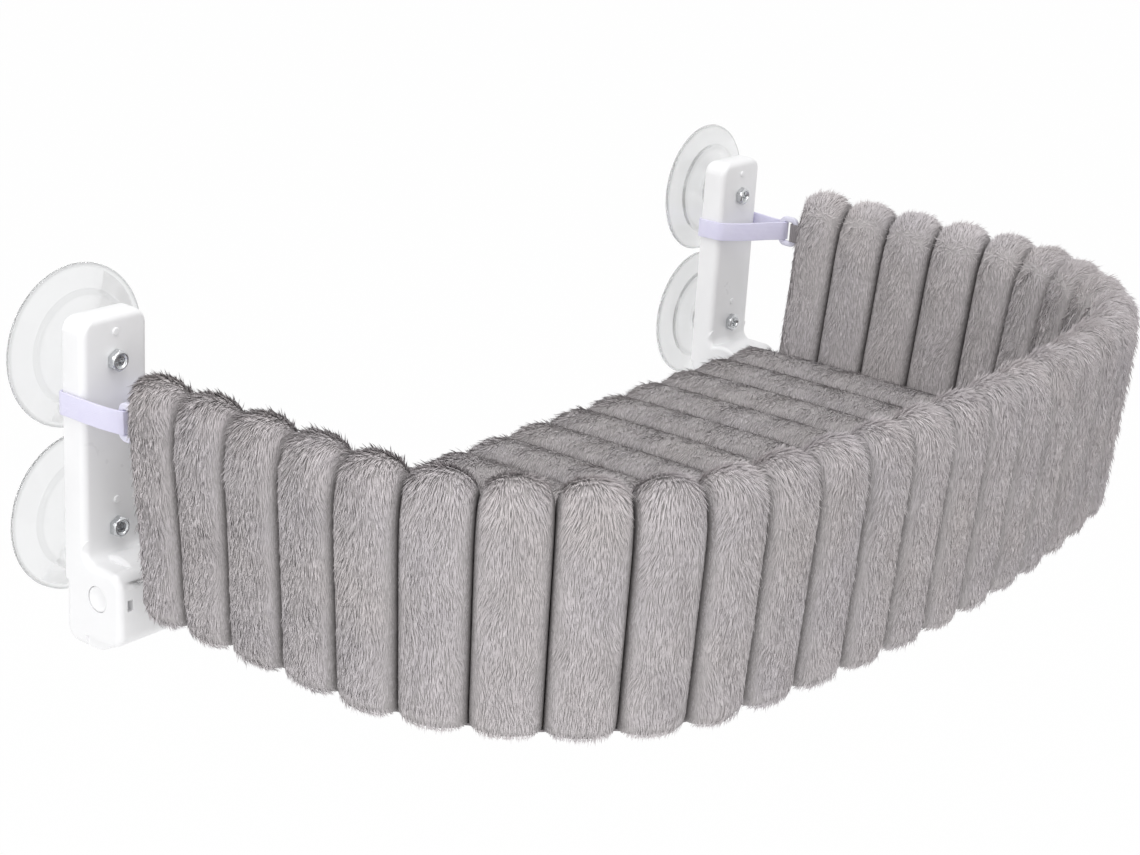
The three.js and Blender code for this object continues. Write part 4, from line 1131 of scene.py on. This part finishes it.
pull_plan = rounded([
    [slider_x - pull_width * pull_share, slider_y + pull_head, head_round],
    [slider_x - pull_width / 2, slider_y - pull_length, pull_round],
    [slider_x + pull_width / 2, slider_y - pull_length, pull_round],
    [slider_x + pull_width * pull_share, slider_y + pull_head, head_round],
])
pull_low = pull_level - pull_thickness * pull_sunk
pull = piece("zip_pull", *slab(pull_plan, pull_low, pull_low + pull_thickness, pull_edge, "Z"), dark_zinc)
eye_outline = disc(eye_radius, slider_x, slider_y - pull_length + eye_inset, 20)
pull_eye = piece("pull_eye", *slab(eye_outline, pull_level - 3, pull_level + 2, 0.0, "Z"), dark_zinc)
carved(pull, [], [pull_eye])
for part in (body, bridge, pull):
    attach(part, "bed")
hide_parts("zip_slider")


# The wall: one plush skin over 30 upright foam channels, sewn down at the seams between them. The skin
# is a knitted ground cloth under its pile, and painted shade darkens its colour towards the seams.
plush_ground, tree, place = new_material("plush_ground_knit")
painted_shade_swell = add(tree, "Attribute", {}, "Fac", attribute_name="swell")
mottle = add(tree, "TexNoise", {"Vector": place, "Scale": 260.0, "Detail": 4.0})
# Painted shade: the ground's colour darkens from the channels' middles down to the seams
shadow = add(tree, "ValToRGB", {"Fac": painted_shade_swell})
ramp = shadow.node.color_ramp
ramp.elements[0].position, ramp.elements[0].color = 0.1, linear("#5A5656")
ramp.elements[1].position, ramp.elements[1].color = 0.75, linear("#B4B0B0")
speck = add(tree, "MapRange", {"Value": mottle, "To Min": 0.8, "To Max": 1.15})
tint = add(tree, "Mix", {0: 1.0, 6: shadow, 7: speck}, 2, data_type="RGBA", blend_type="MULTIPLY")
dent = add(tree, "Bump", {"Height": mottle, "Strength": 0.5, "Distance": 0.002})
shade = add(tree, "BsdfPrincipled", {"Base Color": tint, "Roughness": 0.95, "Normal": dent})
add(tree, "OutputMaterial", {"Surface": shade})

wall_height = 117
wall_lean = 7
wall_outset = 4
foot_thickness = 30
top_thickness = 21
channel_swell = 6.2
pile_bulk = 1.6
groove_depth = 11  # from the ground cloth in a channel's middle down to the seam
groove_power, crest_power, skirt_power = 0.24, 0.42, 0.5
crest_dip = 13
side_share = 0.62  # height at which the crest's round begins
crest_powers = (2.2, 3.8)
skirt_middle, skirt_half, skirt_depth = 0.7, 0.3, 0.05
skirt_drop = 3
end_round = 10
end_closing, end_fall = 0.06, 6  # share of the thickness left at the very end, and how far it falls
end_sections = 8
end_slants = (7, 2)  # how far the left and right ends' feet stand back from their tops, along the plan
bed_floor = box_of("front_wall")[0][2]


def section_loop(count=96):
    """One section of the wall as shares: side from 1 outside to -1 inside, height from 0 to 1. Straight
    sides, a crest where |side|^p + |rise|^q = 1, a flat foot and a half round skirt under the outer
    edge. It is evened out by length, from the outer foot over the crest."""
    a = np.linspace(0, np.pi, 80)
    p, q = crest_powers
    crest_side = np.sign(np.cos(a)) * np.abs(np.cos(a)) ** (2 / p)
    crest_height = side_share + (1 - side_share) * np.sin(a) ** (2 / q)
    skirt = np.linspace(-np.pi, 0, 16)
    loop = np.vstack([
        [[1, 0.04], [1, 0.3]], np.column_stack([crest_side, crest_height]),
        [[-1, 0.3], [-1, 0.03], [-0.9, 0.0], [0.2, 0.0]],
        np.column_stack([skirt_middle + skirt_half * np.cos(skirt), 0.02 + skirt_depth * np.sin(skirt)])])
    at = run_of(loop * (foot_thickness / 2, wall_height))
    return read_at(np.linspace(0, at[-1], count), at, loop), at[-1]


wall_loop, wall_girth = section_loop()
loop_shares = np.linspace(0, 1, len(wall_loop))
crest_t = np.interp(0, -wall_loop[:60, 0], loop_shares[:60])
inner_foot_t = loop_shares[np.argmax((wall_loop[:, 0] < -0.95) & (wall_loop[:, 1] < 0.05))]
skirt_t = loop_shares[len(wall_loop) - np.argmax(wall_loop[::-1, 0] < 0.45)]


def bulge(f, power):
    """How far a channel swells at the share f across it: (4 f (1 - f)) ^ power, 0 at the seams."""
    return np.maximum(4 * f * (1 - f), 0) ** power


def wall_skin(distance, t):
    """A point of the ground cloth, for a distance along the plan and a share t round the section. The
    seams lie groove_depth under the channels' middles. Both ends are drawn in by a quarter circle, and
    their feet stand back, more at the left than at the right, as the strap pulls only at the top."""
    side = np.interp(t, loop_shares, wall_loop[:, 0])
    height = np.interp(t, loop_shares, wall_loop[:, 1])
    f = (distance / wall_pitch) % 1.0
    swell = bulge(f, groove_power)
    from_end = np.clip(np.minimum(distance, plan_length - distance) / end_round, 0, 1)
    ending = end_closing + (1 - end_closing) * np.sqrt(1 - (1 - from_end) ** 2)
    up = np.clip(height, 0, 1)
    half = (foot_thickness + (top_thickness - foot_thickness) * up) / 2
    middle = half - (wall_outset - wall_lean * (1 - up))
    inset = middle - (half + channel_swell - pile_bulk - groove_depth * (1 - swell)) * side * ending
    left, right = (np.clip(1 - gap / (2 * wall_pitch), 0, 1) for gap in (distance, plan_length - distance))
    slant = (end_slants[0] * left - end_slants[1] * right) * (1 - up)
    x, y = on_plan(distance + slant, inset)
    rise = wall_height - pile_bulk - crest_dip * (1 - bulge(f, crest_power)) - end_fall * (1 - ending)
    skirt = smooth_step(side, 0.2, 0.7) * (1 - smooth_step(height, 0.0, 0.22))
    z = bed_floor + rise * height - skirt_drop * bulge(f, skirt_power) * skirt
    return np.stack([x, y, z], -1)


channel_columns = 18
column_shares = 0.5 - 0.5 * np.cos(np.pi * np.arange(channel_columns) / channel_columns)
stretches = [("left_wall_end", 0, 3), ("left_wall_corner", 3, 10), ("front_wall", 10, 20),
             ("right_wall_corner", 20, 27), ("right_wall_end", 27, 30)]
ground_shade_power = 0.5
soft_crease = math.radians(70)
for name, first, last in stretches:
    distance = ((np.arange(first, last)[:, None] + column_shares) * wall_pitch).ravel()
    distance = np.append(distance, last * wall_pitch)
    # The ends' rounds need closer sections
    closer = end_round * np.linspace(0, 1, end_sections) ** 2
    if first == 0:
        distance = np.union1d(distance, closer)
    if last == wall_channels:
        distance = np.union1d(distance, plan_length - closer)
    skin = wall_skin(distance[:, None], np.linspace(0, 1, len(wall_loop))[None, :-1])
    # The swell mark leads the ground's painted shade by the seams
    swell = np.broadcast_to(bulge((distance / wall_pitch) % 1.0, ground_shade_power)[:, None], skin.shape[:2])
    ground = piece(f"{name}_ground", skin, tube_faces(skin), plush_ground, smooth=soft_crease,
                   marks={"swell": swell})
    if "end" in name:
        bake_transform(ground)
    else:
        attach(ground, "bed")
    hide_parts(name)


# The pile: rabbit plush, soft polyester hairs 6 mm long, knitted into the ground cloth and brushed down
# the walls. It reads as a fine velvet of short strokes with a fuzzy edge, and painted shade darkens it a
# little towards the roots.
plush_pile, tree, place = new_material("polyester_plush_pile")
along_hair = add(tree, "Attribute", {}, "Fac", attribute_name="along_hair")
tone_and_painted_shading = add(tree, "Attribute", {}, "Fac", attribute_name="tone_and_painted_shading")
dye = add(tree, "TexNoise", {"Vector": place, "Scale": 22.0, "Detail": 2.0})
# Painted shade: each hair's colour darkens a little towards its root
depth = add(tree, "ValToRGB", {"Fac": along_hair})
ramp = depth.node.color_ramp
ramp.elements[0].position, ramp.elements[0].color = 0.0, linear("#C3C0C0")
ramp.elements[1].position, ramp.elements[1].color = 1.0, linear("#D3D0D1")
middle_stop = ramp.elements.new(0.5)
middle_stop.color = linear("#CBC8C9")
tone = add(tree, "Mix", {0: 1.0, 6: depth, 7: tone_and_painted_shading}, 2, data_type="RGBA", blend_type="MULTIPLY")
warm = add(tree, "Mix", {0: dye, 6: linear("#FAF8FC"), 7: linear("#FEFAF7")}, 2, data_type="RGBA")
dyed = add(tree, "Mix", {0: 1.0, 6: tone, 7: warm}, 2, data_type="RGBA", blend_type="MULTIPLY")
shade = add(tree, "BsdfPrincipled", {
    "Base Color": dyed, "Roughness": 0.8, "Sheen Weight": 0.25, "Sheen Roughness": 0.4,
    "Sheen Tint": linear("#E9E6E6"), "Specular IOR Level": 0.2})
add(tree, "OutputMaterial", {"Surface": shade})


def drift(points, size, seed):
    """A smooth random field of about -1 to 1 whose features are size millimetres across: the sum of
    ten sine waves in random directions."""
    draw = np.random.default_rng(seed)
    heading = unit(draw.normal(size=(10, 3))) * (2 * np.pi / size * draw.uniform(0.6, 1.5, 10))[:, None]
    return np.sin(points @ heading.T + draw.uniform(0, 2 * np.pi, 10)).sum(-1) / 3.2


r2_strides = (0.7548776662466927, 0.5698402909980532)


def scattered(skin, low, high, density, weight, seed):
    """Places u, v spread evenly over a skin between two corners low and high. Candidates follow the R2
    sequence and are kept with a chance equal to their area element, times the weight, over its peak.
    Returns u, v, the points and the unit directions of u and v and of the normal, u crossed with v."""
    draw = np.random.default_rng(seed)
    trial = draw.uniform(low, high, (4000, 2))

    def frame_at(u, v):
        du, dv = 0.05, 0.0002
        here = skin(u, v)
        along_u, along_v = (skin(u + du, v) - here) / du, (skin(u, v + dv) - here) / dv
        normal = np.cross(along_u, along_v)
        return here, unit(along_u), unit(along_v), unit(normal), np.linalg.norm(normal, axis=1)

    peak = np.quantile(frame_at(*trial.T)[-1] * weight(*trial.T), 0.995)
    candidates = int(peak * (high[0] - low[0]) * (high[1] - low[1]) * density)
    step = np.arange(candidates)
    u, v = (a + (b - a) * ((0.5 + step * stride) % 1) for a, b, stride in zip(low, high, r2_strides))
    *found, area = frame_at(u, v)
    kept = draw.uniform(0, 1, candidates) < area * weight(u, v) / peak
    return [values[kept] for values in (u, v, *found)]


hair_roll = 0.25
knee = 0.48  # share of a hair's length from its root to M
root_depth = 0.4
upward_light = (0, 0, 0.25)  # light scatters in the pile, as if it faced a little more upwards
normal_noise, side_tilt, nap_tilt = 0.04, 0.1, 0.08
lock_tones = ((0.035, 5, 17), (0.03, 24, 18))  # share of the tone, size in millimetres and seed
hair_tone = 0.015


def hairs(name, roots, normal, nap, length, lift, width, tone, seed):
    """Hairs as slim closed kites: root R, tip T and two points M halfway that stand half a width to
    either side. From R the hair climbs at the lift's first angle over the nap, and past M at its second,
    so that M lies above the line from R to T and the kite has a back and a belly: four triangles. The
    back is shaded with the ground's normal, turned a little to each side, like a bundle of fine hairs."""
    draw = np.random.default_rng(seed)
    count = len(roots)
    side = np.cross(normal, nap)
    roll = draw.normal(0, hair_roll, count)[:, None]
    climb, glide = (np.cos(angle)[:, None] * nap + np.sin(angle)[:, None] * normal for angle in lift)
    middle = roots + climb * length[:, None] * knee
    tip = middle + glide * length[:, None] * (1 - knee)
    spread = (side * np.cos(roll) + np.cross(climb, side) * np.sin(roll)) * width[:, None] / 2
    points = np.stack([roots - climb * root_depth, middle + spread, middle - spread, tip], 1)
    kite = np.array([[0, 2, 1], [3, 1, 2], [0, 1, 3], [0, 3, 2]])
    faces = (kite[None] + np.arange(count)[:, None, None] * 4).reshape(-1, 3)
    mesh = fill_mesh(name, points, faces)
    top = unit(normal + upward_light + normal_noise * draw.normal(size=(count, 3)))
    turns = (0 * side, side_tilt * side, -side_tilt * side, nap_tilt * nap)
    backs = np.stack([unit(top + turn) for turn in turns], 1)[:, kite[:2].ravel()]
    a, b, c = (points[:, kite[2:, corner]] for corner in range(3))
    bellies = np.repeat(unit(np.cross(b - a, c - a)), 3, 1)
    shading = np.concatenate([backs, bellies], 1).astype(np.float32)
    mark(mesh, "custom_normal", "FLOAT_VECTOR", "CORNER", shading, "vector")
    # The four edges between back and belly are sharp: of a kite's edges, only M-M and R-T add up to 3
    ends = np.empty(len(mesh.edges) * 2, np.int32)
    mesh.edges.foreach_get("vertices", ends)
    sharp = (ends.reshape(-1, 2) % 4).sum(1) != 3
    mark(mesh, "sharp_edge", "BOOLEAN", "EDGE", sharp)
    mark(mesh, "along_hair", "FLOAT", "POINT", np.tile(np.array([0.0, 0.55, 0.55, 1.0], np.float32), count))
    # A hair's tone: random locks and noise, times the tone passed in, which carries the painted seam shade
    # and the crest's painted light
    locks = sum(share * drift(roots, size, draw_seed) for share, size, draw_seed in lock_tones)
    locks += hair_tone * draw.normal(size=count)
    mark(mesh, "tone_and_painted_shading", "FLOAT", "POINT", np.repeat((1 + locks) * tone, 4).astype(np.float32))
    # Each hair has a cell of its own in the map: back on the left half, belly on the right
    cells = math.ceil(math.sqrt(count))
    corner = np.column_stack([np.arange(count) % cells, np.arange(count) // cells])[:, None, None] / cells
    back = np.array([[[0.02, 0.5], [0.25, 0.05], [0.25, 0.95]], [[0.48, 0.5], [0.25, 0.95], [0.25, 0.05]]])
    belly = np.array([[[0.52, 0.1], [0.75, 0.9], [0.98, 0.1]], [[0.52, 0.12], [0.98, 0.12], [0.75, 0.02]]])
    cell_map = (corner + np.concatenate([back, belly])[None] / cells).reshape(-1, 2)
    mesh.uv_layers.new(name="OFBake").data.foreach_set("uv", cell_map.astype(np.float32).ravel())
    mesh.materials.append(plush_pile)
    return placed(name, mesh)


pile_length = 6.2
pile_width = 0.35
wall_density, seat_density = 0.92, 0.8  # strokes to a square millimetre; each stands for a few fibres
pile_lift = (13, 1)  # degrees over the nap, from the root and from the middle
seam_length_share = 0.2
guard_share = 0.06  # loose hairs that stand off the nap
guard_lift = 22
stand_lift, drift_lift, drift_size = (3, 2), (2, 1.5), 6  # added where hairs stand, and by slow drifts
flank_run, flank_share = (1, 10), 0.08  # a channel's flank, and the share of the lift at its seam
lift_noise = 2
length_spread, width_spread = (0.75, 1.1), (0.75, 1.2)
nap_noise = 0.08
seam_shade = 0.6
seam_shade_width = 3.2
inside_thinning, crest_thickening = 0.3, 0.5  # of the pile's density
crest_half = 20  # about the crest, where the pile stands


def wall_weight(distance, t):
    """The pile's density as a share: most on the crest, least on the inside."""
    from_crest = (t - crest_t) * wall_girth
    inside = smooth_step(from_crest, 5, 15) * (t < skirt_t)
    return 1.15 - inside_thinning * inside + crest_thickening * np.exp(-(from_crest / crest_half) ** 2)


def seam_tone(from_seam):
    """Less light reaches the pile down in a seam: 1 - s exp(-(d / w)^1.3) at the distance d from it."""
    return 1 - seam_shade * np.exp(-(from_seam / seam_shade_width) ** 1.3)


def lifts(stand, from_seam, roots, draw):
    """The two lift angles in radians: raised where hairs stand and for the loose guard hairs, and low on
    a channel's flanks."""
    count = len(roots)
    flank = smooth_step(from_seam, *flank_run)
    guard = guard_lift * (draw.uniform(0, 1, count) < guard_share * (1 + stand))
    first = pile_lift[0] + stand_lift[0] * stand + drift_lift[0] * drift(roots, drift_size, 13) + guard
    second = pile_lift[1] + stand_lift[1] * stand + drift_lift[1] * drift(roots, drift_size, 14) + guard
    calm = flank_share + (1 - flank_share) * flank
    first, second = (np.radians((angle + draw.normal(0, lift_noise, count)) * calm)
                     for angle in (first, second))
    return first, np.minimum(second, first - 0.1)


def swirled(nap, normal, roots, broad, fine, seed, draw, fan=0.0, share=1.0):
    """The nap turned about the normal, nap cos a + (normal x nap) sin a. The angle is the fan's, plus a
    share of a broad drift, a fine one, each (angle, size), and noise."""
    drifts = broad[0] * drift(roots, broad[1], seed) + fine[0] * drift(roots, fine[1], seed + 1)
    angle = (fan + (drifts + draw.normal(0, nap_noise, len(roots))) * share)[:, None]
    return nap * np.cos(angle) + np.cross(normal, nap) * np.sin(angle)


def plush(name, roots, normal, nap, from_seam, by_seam, growth, stand, tone, draw, seed):
    """Hairs of the plush: shorter by the seams, grown by the growth, and darker down in the seams."""
    length = pile_length * (seam_length_share + (1 - seam_length_share) * by_seam) * growth
    length = length * draw.uniform(*length_spread, len(roots))
    width = pile_width * draw.uniform(*width_spread, len(roots))
    shaded = seam_tone(from_seam) * tone
    return hairs(name, roots, normal, nap, length, lifts(stand, from_seam, roots, draw), width, shaded, seed)


pile_stretches = [
    ("left_wall_end", 0, 3), ("left_wall_corner_a", 3, 6), ("left_wall_corner_b", 6, 10),
    ("front_wall_a", 10, 13), ("front_wall_b", 13, 17), ("front_wall_c", 17, 20),
    ("right_wall_corner_a", 20, 24), ("right_wall_corner_b", 24, 27), ("right_wall_end", 27, 30)]
parting_at, parting_half = 17, 6  # where the nap parts, on the inside, and half the parting's width
fan_spread, fan_fade = 1.7, 32
sewn_gap, seam_reach_wall = 1.0, 5.5
stray_share, stray_spread = 0.4, 0.7  # of the nap in the parting, where it lies loosely
crest_growth, foot_trim = 0.15, 0.25  # of a hair's length
stand_at_seam = 0.3  # share of the crest's stand that is left in the seams
wall_swirl = ((0.22, 30), (0.1, 8), 11)  # broad and fine swirls, each radians and millimetres, and a seed
for number, (name, first, last) in enumerate(pile_stretches):
    seed = 100 + number * 10
    parts = [scattered(wall_skin, (first * wall_pitch + 0.02, low), (last * wall_pitch - 0.06, high),
                       wall_density, wall_weight, seed + index)
             for index, (low, high) in enumerate([(0.0, inner_foot_t), (skirt_t, 0.9995)])]
    found = [np.concatenate(both) for both in zip(*parts)]
    f = (found[0] / wall_pitch) % 1.0
    from_seam = np.minimum(f, 1 - f) * wall_pitch
    t, roots, unit_u, unit_t, normal, f, from_seam = (
        values[from_seam > sewn_gap] for values in (*found[1:], f, from_seam))
    t = np.where(t > skirt_t, t - 1, t)
    draw = np.random.default_rng(seed + 2)
    from_crest = (t - crest_t) * wall_girth
    by_seam = smooth_step(from_seam, 0.0, seam_reach_wall)
    parting = np.clip((from_crest - parting_at + 2 * drift(roots, 14, 7)) / parting_half, -1, 1)
    loose = stray_share * (1 - parting ** 2)[:, None]
    astray = sum(along * draw.normal(0, stray_spread, (len(t), 1)) for along in (unit_u, unit_t))
    nap = unit(unit_t * parting[:, None] + loose * astray)
    fan = (f - 0.5) * fan_spread * by_seam ** 2 * np.exp(-np.abs(from_crest) / fan_fade) * -np.sign(parting)
    nap = swirled(nap, normal, roots, *wall_swirl, draw, fan, by_seam)
    by_crest = np.exp(-(np.abs(from_crest) / crest_half) ** 2)
    stand = by_crest * (stand_at_seam + (1 - stand_at_seam) * by_seam)
    growth = (1 + crest_growth * stand) * (1 - foot_trim * smooth_step(-t, -0.02, 0.03))
    # Painted light: the pile's colour is lightened where the hairs stand on the crest
    pile = plush(f"{name}_pile", roots, normal, nap, from_seam, by_seam, growth, stand, 1 + 0.1 * stand, draw,
                 seed + 3)
    if "end" in name:
        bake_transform(pile)
    else:
        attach(pile, "bed")


# Seat pad: the same plush over a flat foam pad, quilted into 14 channels that run from the window to the
# room. Its nap is brushed across the channels, and at the open rear edge it fluffs outwards.
seat_channels = 14
seat_thickness = 17
seat_groove = 9.5
seat_inset = 35.5
seat_rear = 61
seat_edge = 9
seat_power = 0.45
sewn_gap_seat, seam_reach_seat = 0.8, 7.0
typical_run = 230  # from the rear edge to the front one
rear_thickening, rear_share = 0.6, 0.07  # of the pile's density, and the share of the section it fades over
seat_half = seam_half - seat_inset
seat_pitch = 2 * seat_half / seat_channels
front_line = np.array(on_plan(np.linspace(0, plan_length, 1200), seat_inset))


def seat_loop(count=88):
    """One section of the pad along Y as rows [share of the run, offset in Y, share of the height]: a
    round rear edge, a crowned top, a round front edge and a flat underside, evened out by length."""
    a = np.linspace(-np.pi / 2, np.pi / 2, 18)
    s = np.linspace(0, 1, 40)
    edge_y, edge_z = seat_edge * np.cos(a), 0.45 + 0.45 * np.sin(a)
    loop = np.vstack([
        np.column_stack([0 * a, edge_y - seat_edge, edge_z]),
        np.column_stack([s, -seat_edge * (1 - 2 * s), 0.9 + 0.1 * np.sin(np.pi * s) ** 0.5])[1:-1],
        np.column_stack([0 * a + 1, seat_edge - edge_y, edge_z])[::-1],
    ])
    flat = np.column_stack([loop[:, 0] * -typical_run + loop[:, 1], loop[:, 2] * seat_thickness])
    at = run_of(flat)
    return read_at(np.linspace(0, at[-1], count), at, loop)


seat_section = seat_loop()


def seat_skin(x, v):
    """A point of the pad's ground cloth: x across, and a share v along the section from the rear's
    underside over the top. The seams lie seat_groove under the channels' middles."""
    shares = np.linspace(0, 1, len(seat_section))
    run_share, offset, height = (np.interp(v, shares, column) for column in seat_section.T)
    f = ((x + seat_half) / seat_pitch) % 1.0
    front = np.interp(np.clip(x, 0.5 - seat_half, seat_half - 0.5), *front_line[:, np.argsort(front_line[0])])
    y = -seat_rear + (front + seat_rear) * run_share + offset
    z = bed_floor + (seat_thickness - pile_bulk - seat_groove * (1 - bulge(f, seat_power))) * height
    return np.stack([x + 0 * y, y, z], -1)


seat_columns = ((np.arange(seat_channels)[:, None] + column_shares) * seat_pitch - seat_half).ravel()
seat_columns = np.append(seat_columns, seat_half)
skin = seat_skin(seat_columns[:, None], np.linspace(0, 1, len(seat_section))[None])
# The swell mark leads the pad ground's painted shade by the seams
swell = np.broadcast_to(bulge(((seat_columns + seat_half) / seat_pitch) % 1.0, ground_shade_power)[:, None],
                        skin.shape[:2])
pad = piece("seat_pad_ground", skin, tube_faces(skin), plush_ground, smooth=soft_crease,
            marks={"swell": swell})
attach(pad, "bed")
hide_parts("seat_pad")


def seat_weight(x, v):
    """The pile's density as a share: more on the open rear edge."""
    return 1 + rear_thickening * np.exp(-(v / rear_share) ** 2)


seat_swirl = ((0.18, 28), (0.08, 8), 21)
fluff_run = (-4, 20)  # from the rear line forwards
inner_nap = (-1, -0.35, 0)  # across the channels and a little forwards
rear_nap = (0.8, 1.4, 0.15)  # added at the rear edge, where the nap turns out to the rear
fluff_growth, fluff_stand = 0.2, 0.7
for number, (first, last) in enumerate(((0, 5), (5, 9), (9, 14))):
    seed = 300 + number * 10
    low, high = (first * seat_pitch - seat_half + 0.05, 0.005), (last * seat_pitch - seat_half - 0.1, 0.96)
    x, _, roots, _, _, normal = scattered(seat_skin, low, high, seat_density, seat_weight, seed)
    f = ((x + seat_half) / seat_pitch) % 1.0
    from_seam = np.minimum(f, 1 - f) * seat_pitch
    roots, normal, from_seam = (values[from_seam > sewn_gap_seat] for values in (roots, -normal, from_seam))
    draw = np.random.default_rng(seed + 2)
    fluffy = 1 - smooth_step(-seat_rear - roots[:, 1], *fluff_run)
    heading = inner_nap + rear_nap * fluffy[:, None]
    nap = unit(heading - (heading * normal).sum(-1, keepdims=True) * normal)
    nap = swirled(nap, normal, roots, *seat_swirl, draw)
    by_seam = smooth_step(from_seam, 0.0, seam_reach_seat)
    pile = plush(f"seat_pad_pile_{'abc'[number]}", roots, normal, nap, from_seam, by_seam,
                 1 + fluff_growth * fluffy, fluff_stand * fluffy, 1, draw, seed + 3)
    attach(pile, "bed")


# Straps: soft polyester webbing, 12 mm wide, sewn into a closed band that lies round the bracket's arm
# and the rear bar of a moulded ring. A cloth tab ties the ring's front bar to the wall's end. The
# webbing has a satin face, lilac white, with fine cords along it.
satin_webbing, tree, place = new_material("satin_polyester_webbing")
cord_pitch = 0.9 * MM
cord_scale = 2 * math.pi / cord_pitch / 20
cords = add(tree, "TexWave", {"Vector": place, "Scale": cord_scale, "Distortion": 0.5, "Detail": 1.0}, "Fac",
            bands_direction="Z")
wrinkle = add(tree, "TexNoise", {"Vector": place, "Scale": 120.0, "Detail": 2.0})
tint = add(tree, "Mix", {0: wrinkle, 6: linear("#D6D3EC"), 7: linear("#E3E1F4")}, 2, data_type="RGBA")
ribs = add(tree, "Bump", {"Height": cords, "Strength": 0.25, "Distance": 0.0002})
dent = add(tree, "Bump", {"Height": wrinkle, "Strength": 0.2, "Distance": 0.001, "Normal": ribs})
shade = add(tree, "BsdfPrincipled", {
    "Base Color": tint, "Roughness": 0.5, "Normal": dent, "Sheen Weight": 0.2})
add(tree, "OutputMaterial", {"Surface": shade})

strap_width = 12
strap_thickness = 1.5
strap_clear = 0.4
ring_bar = 3.5
ring_thickness = 3
ring_corner = 3
tab_thickness = 1.4
strap_corner = 4.6
band_step = 1.5
band_ripple, ripple_turn = 0.25, 0.21  # height of the band's waves, and their angle from point to point
webbing_round, ring_round, tab_round = 0.45, 0.9, 0.4
tab_flat = 2  # the tab's straight stretch at the wall, and how flat its bend round the bar is
tab_bend = 0.6


def grown(outline, by):
    """A convex outline moved outwards: each corner goes along the sum of its two sides' outward units
    by 'by' over 1 plus the cosine between them."""
    run = unit(np.roll(outline, -1, 0) - outline)
    out = np.column_stack([run[:, 1], -run[:, 0]]) * np.sign(signed_area(outline))
    before = np.roll(out, 1, 0)
    return outline + (out + before) * by / (1 + (out * before).sum(-1, keepdims=True))


def evened(path, step):
    """A closed path with its points about one step apart."""
    loop = np.vstack([path, path[:1]])
    at = run_of(loop)
    return read_at(np.linspace(0, at[-1], int(at[-1] / step), endpoint=False), at, loop), at[-1]


for side in sides_of_bed:
    sign = signs[side]
    ring_box = box_of(f"{side}_strap_ring")
    ring_x, ring_y, ring_z = ring_box.mean(0)
    ring_front, ring_rear = ring_box[:, 1]
    strap_z = box_of(f"{side}_strap").mean(0)[2]
    bar_front = ring_rear - ring_bar
    ring_local = (ring_x - bracket_x[side]) * sign
    hull = np.array([
        [-arm_half, arm_back], [arm_half, arm_back], [arm_half, arm_front],
        [ring_local + ring_thickness / 2, bar_front], [ring_local - ring_thickness / 2, bar_front],
        [-arm_half, arm_front]])
    middle_line = grown(hull, strap_clear + strap_thickness / 2)
    corner_radii = (back_edge_round + 1.2, back_edge_round + 1.2, strap_corner, 1.5, 1.5, strap_corner)
    band, band_length = evened(rounded(np.column_stack([middle_line, corner_radii])), band_step)
    band = np.column_stack([band[:, 0] * sign + bracket_x[side], band[:, 1],
                            strap_z + band_ripple * np.sin(np.arange(len(band)) * ripple_turn)])
    skin = swept(band, bar_outline(strap_thickness, strap_width, webbing_round), closed_path=True)
    strap = piece(f"{side}_webbing_strap", skin, ring_faces(skin), satin_webbing)
    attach(strap, "mount")
    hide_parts(f"{side}_strap")

    half_y, half_z = (np.ptp(ring_box, axis=0)[1:] - ring_bar) / 2
    ring_line = box_outline(ring_y - half_y, ring_y + half_y, ring_z - half_z, ring_z + half_z, ring_corner)
    skin = swept(np.column_stack([np.full(len(ring_line), ring_x), ring_line]),
                 bar_outline(ring_bar, ring_thickness, ring_round), closed_path=True, up=(1, 0, 0))
    ring = piece(f"{side}_moulded_ring", skin, ring_faces(skin), white_nylon)
    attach(ring, "mount")
    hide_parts(f"{side}_strap_ring")

    tab_reach = ring_thickness / 2 + strap_clear + tab_thickness / 2
    tab_rear = ring_front + ring_bar + strap_clear + tab_thickness / 2
    tab_front = box_of(f"{side}_wall_tab")[0][1]
    turn = np.linspace(0, np.pi, 13)
    tab_line = np.vstack([
        [[-tab_reach, tab_front], [-tab_reach, tab_front + tab_flat]],
        np.column_stack([-tab_reach * np.cos(turn), tab_rear + tab_reach * tab_bend * (np.sin(turn) - 1)]),
        [[tab_reach, tab_front + tab_flat], [tab_reach, tab_front]]])
    tab_path = np.column_stack([tab_line + (ring_x, 0), np.full(len(tab_line), ring_z)])
    skin = swept(tab_path, bar_outline(tab_thickness, strap_width, tab_round))
    tab = piece(f"{side}_cloth_tab", skin, tube_faces(skin), woven_polyester)
    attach(tab, "mount")
    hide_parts(f"{side}_wall_tab")
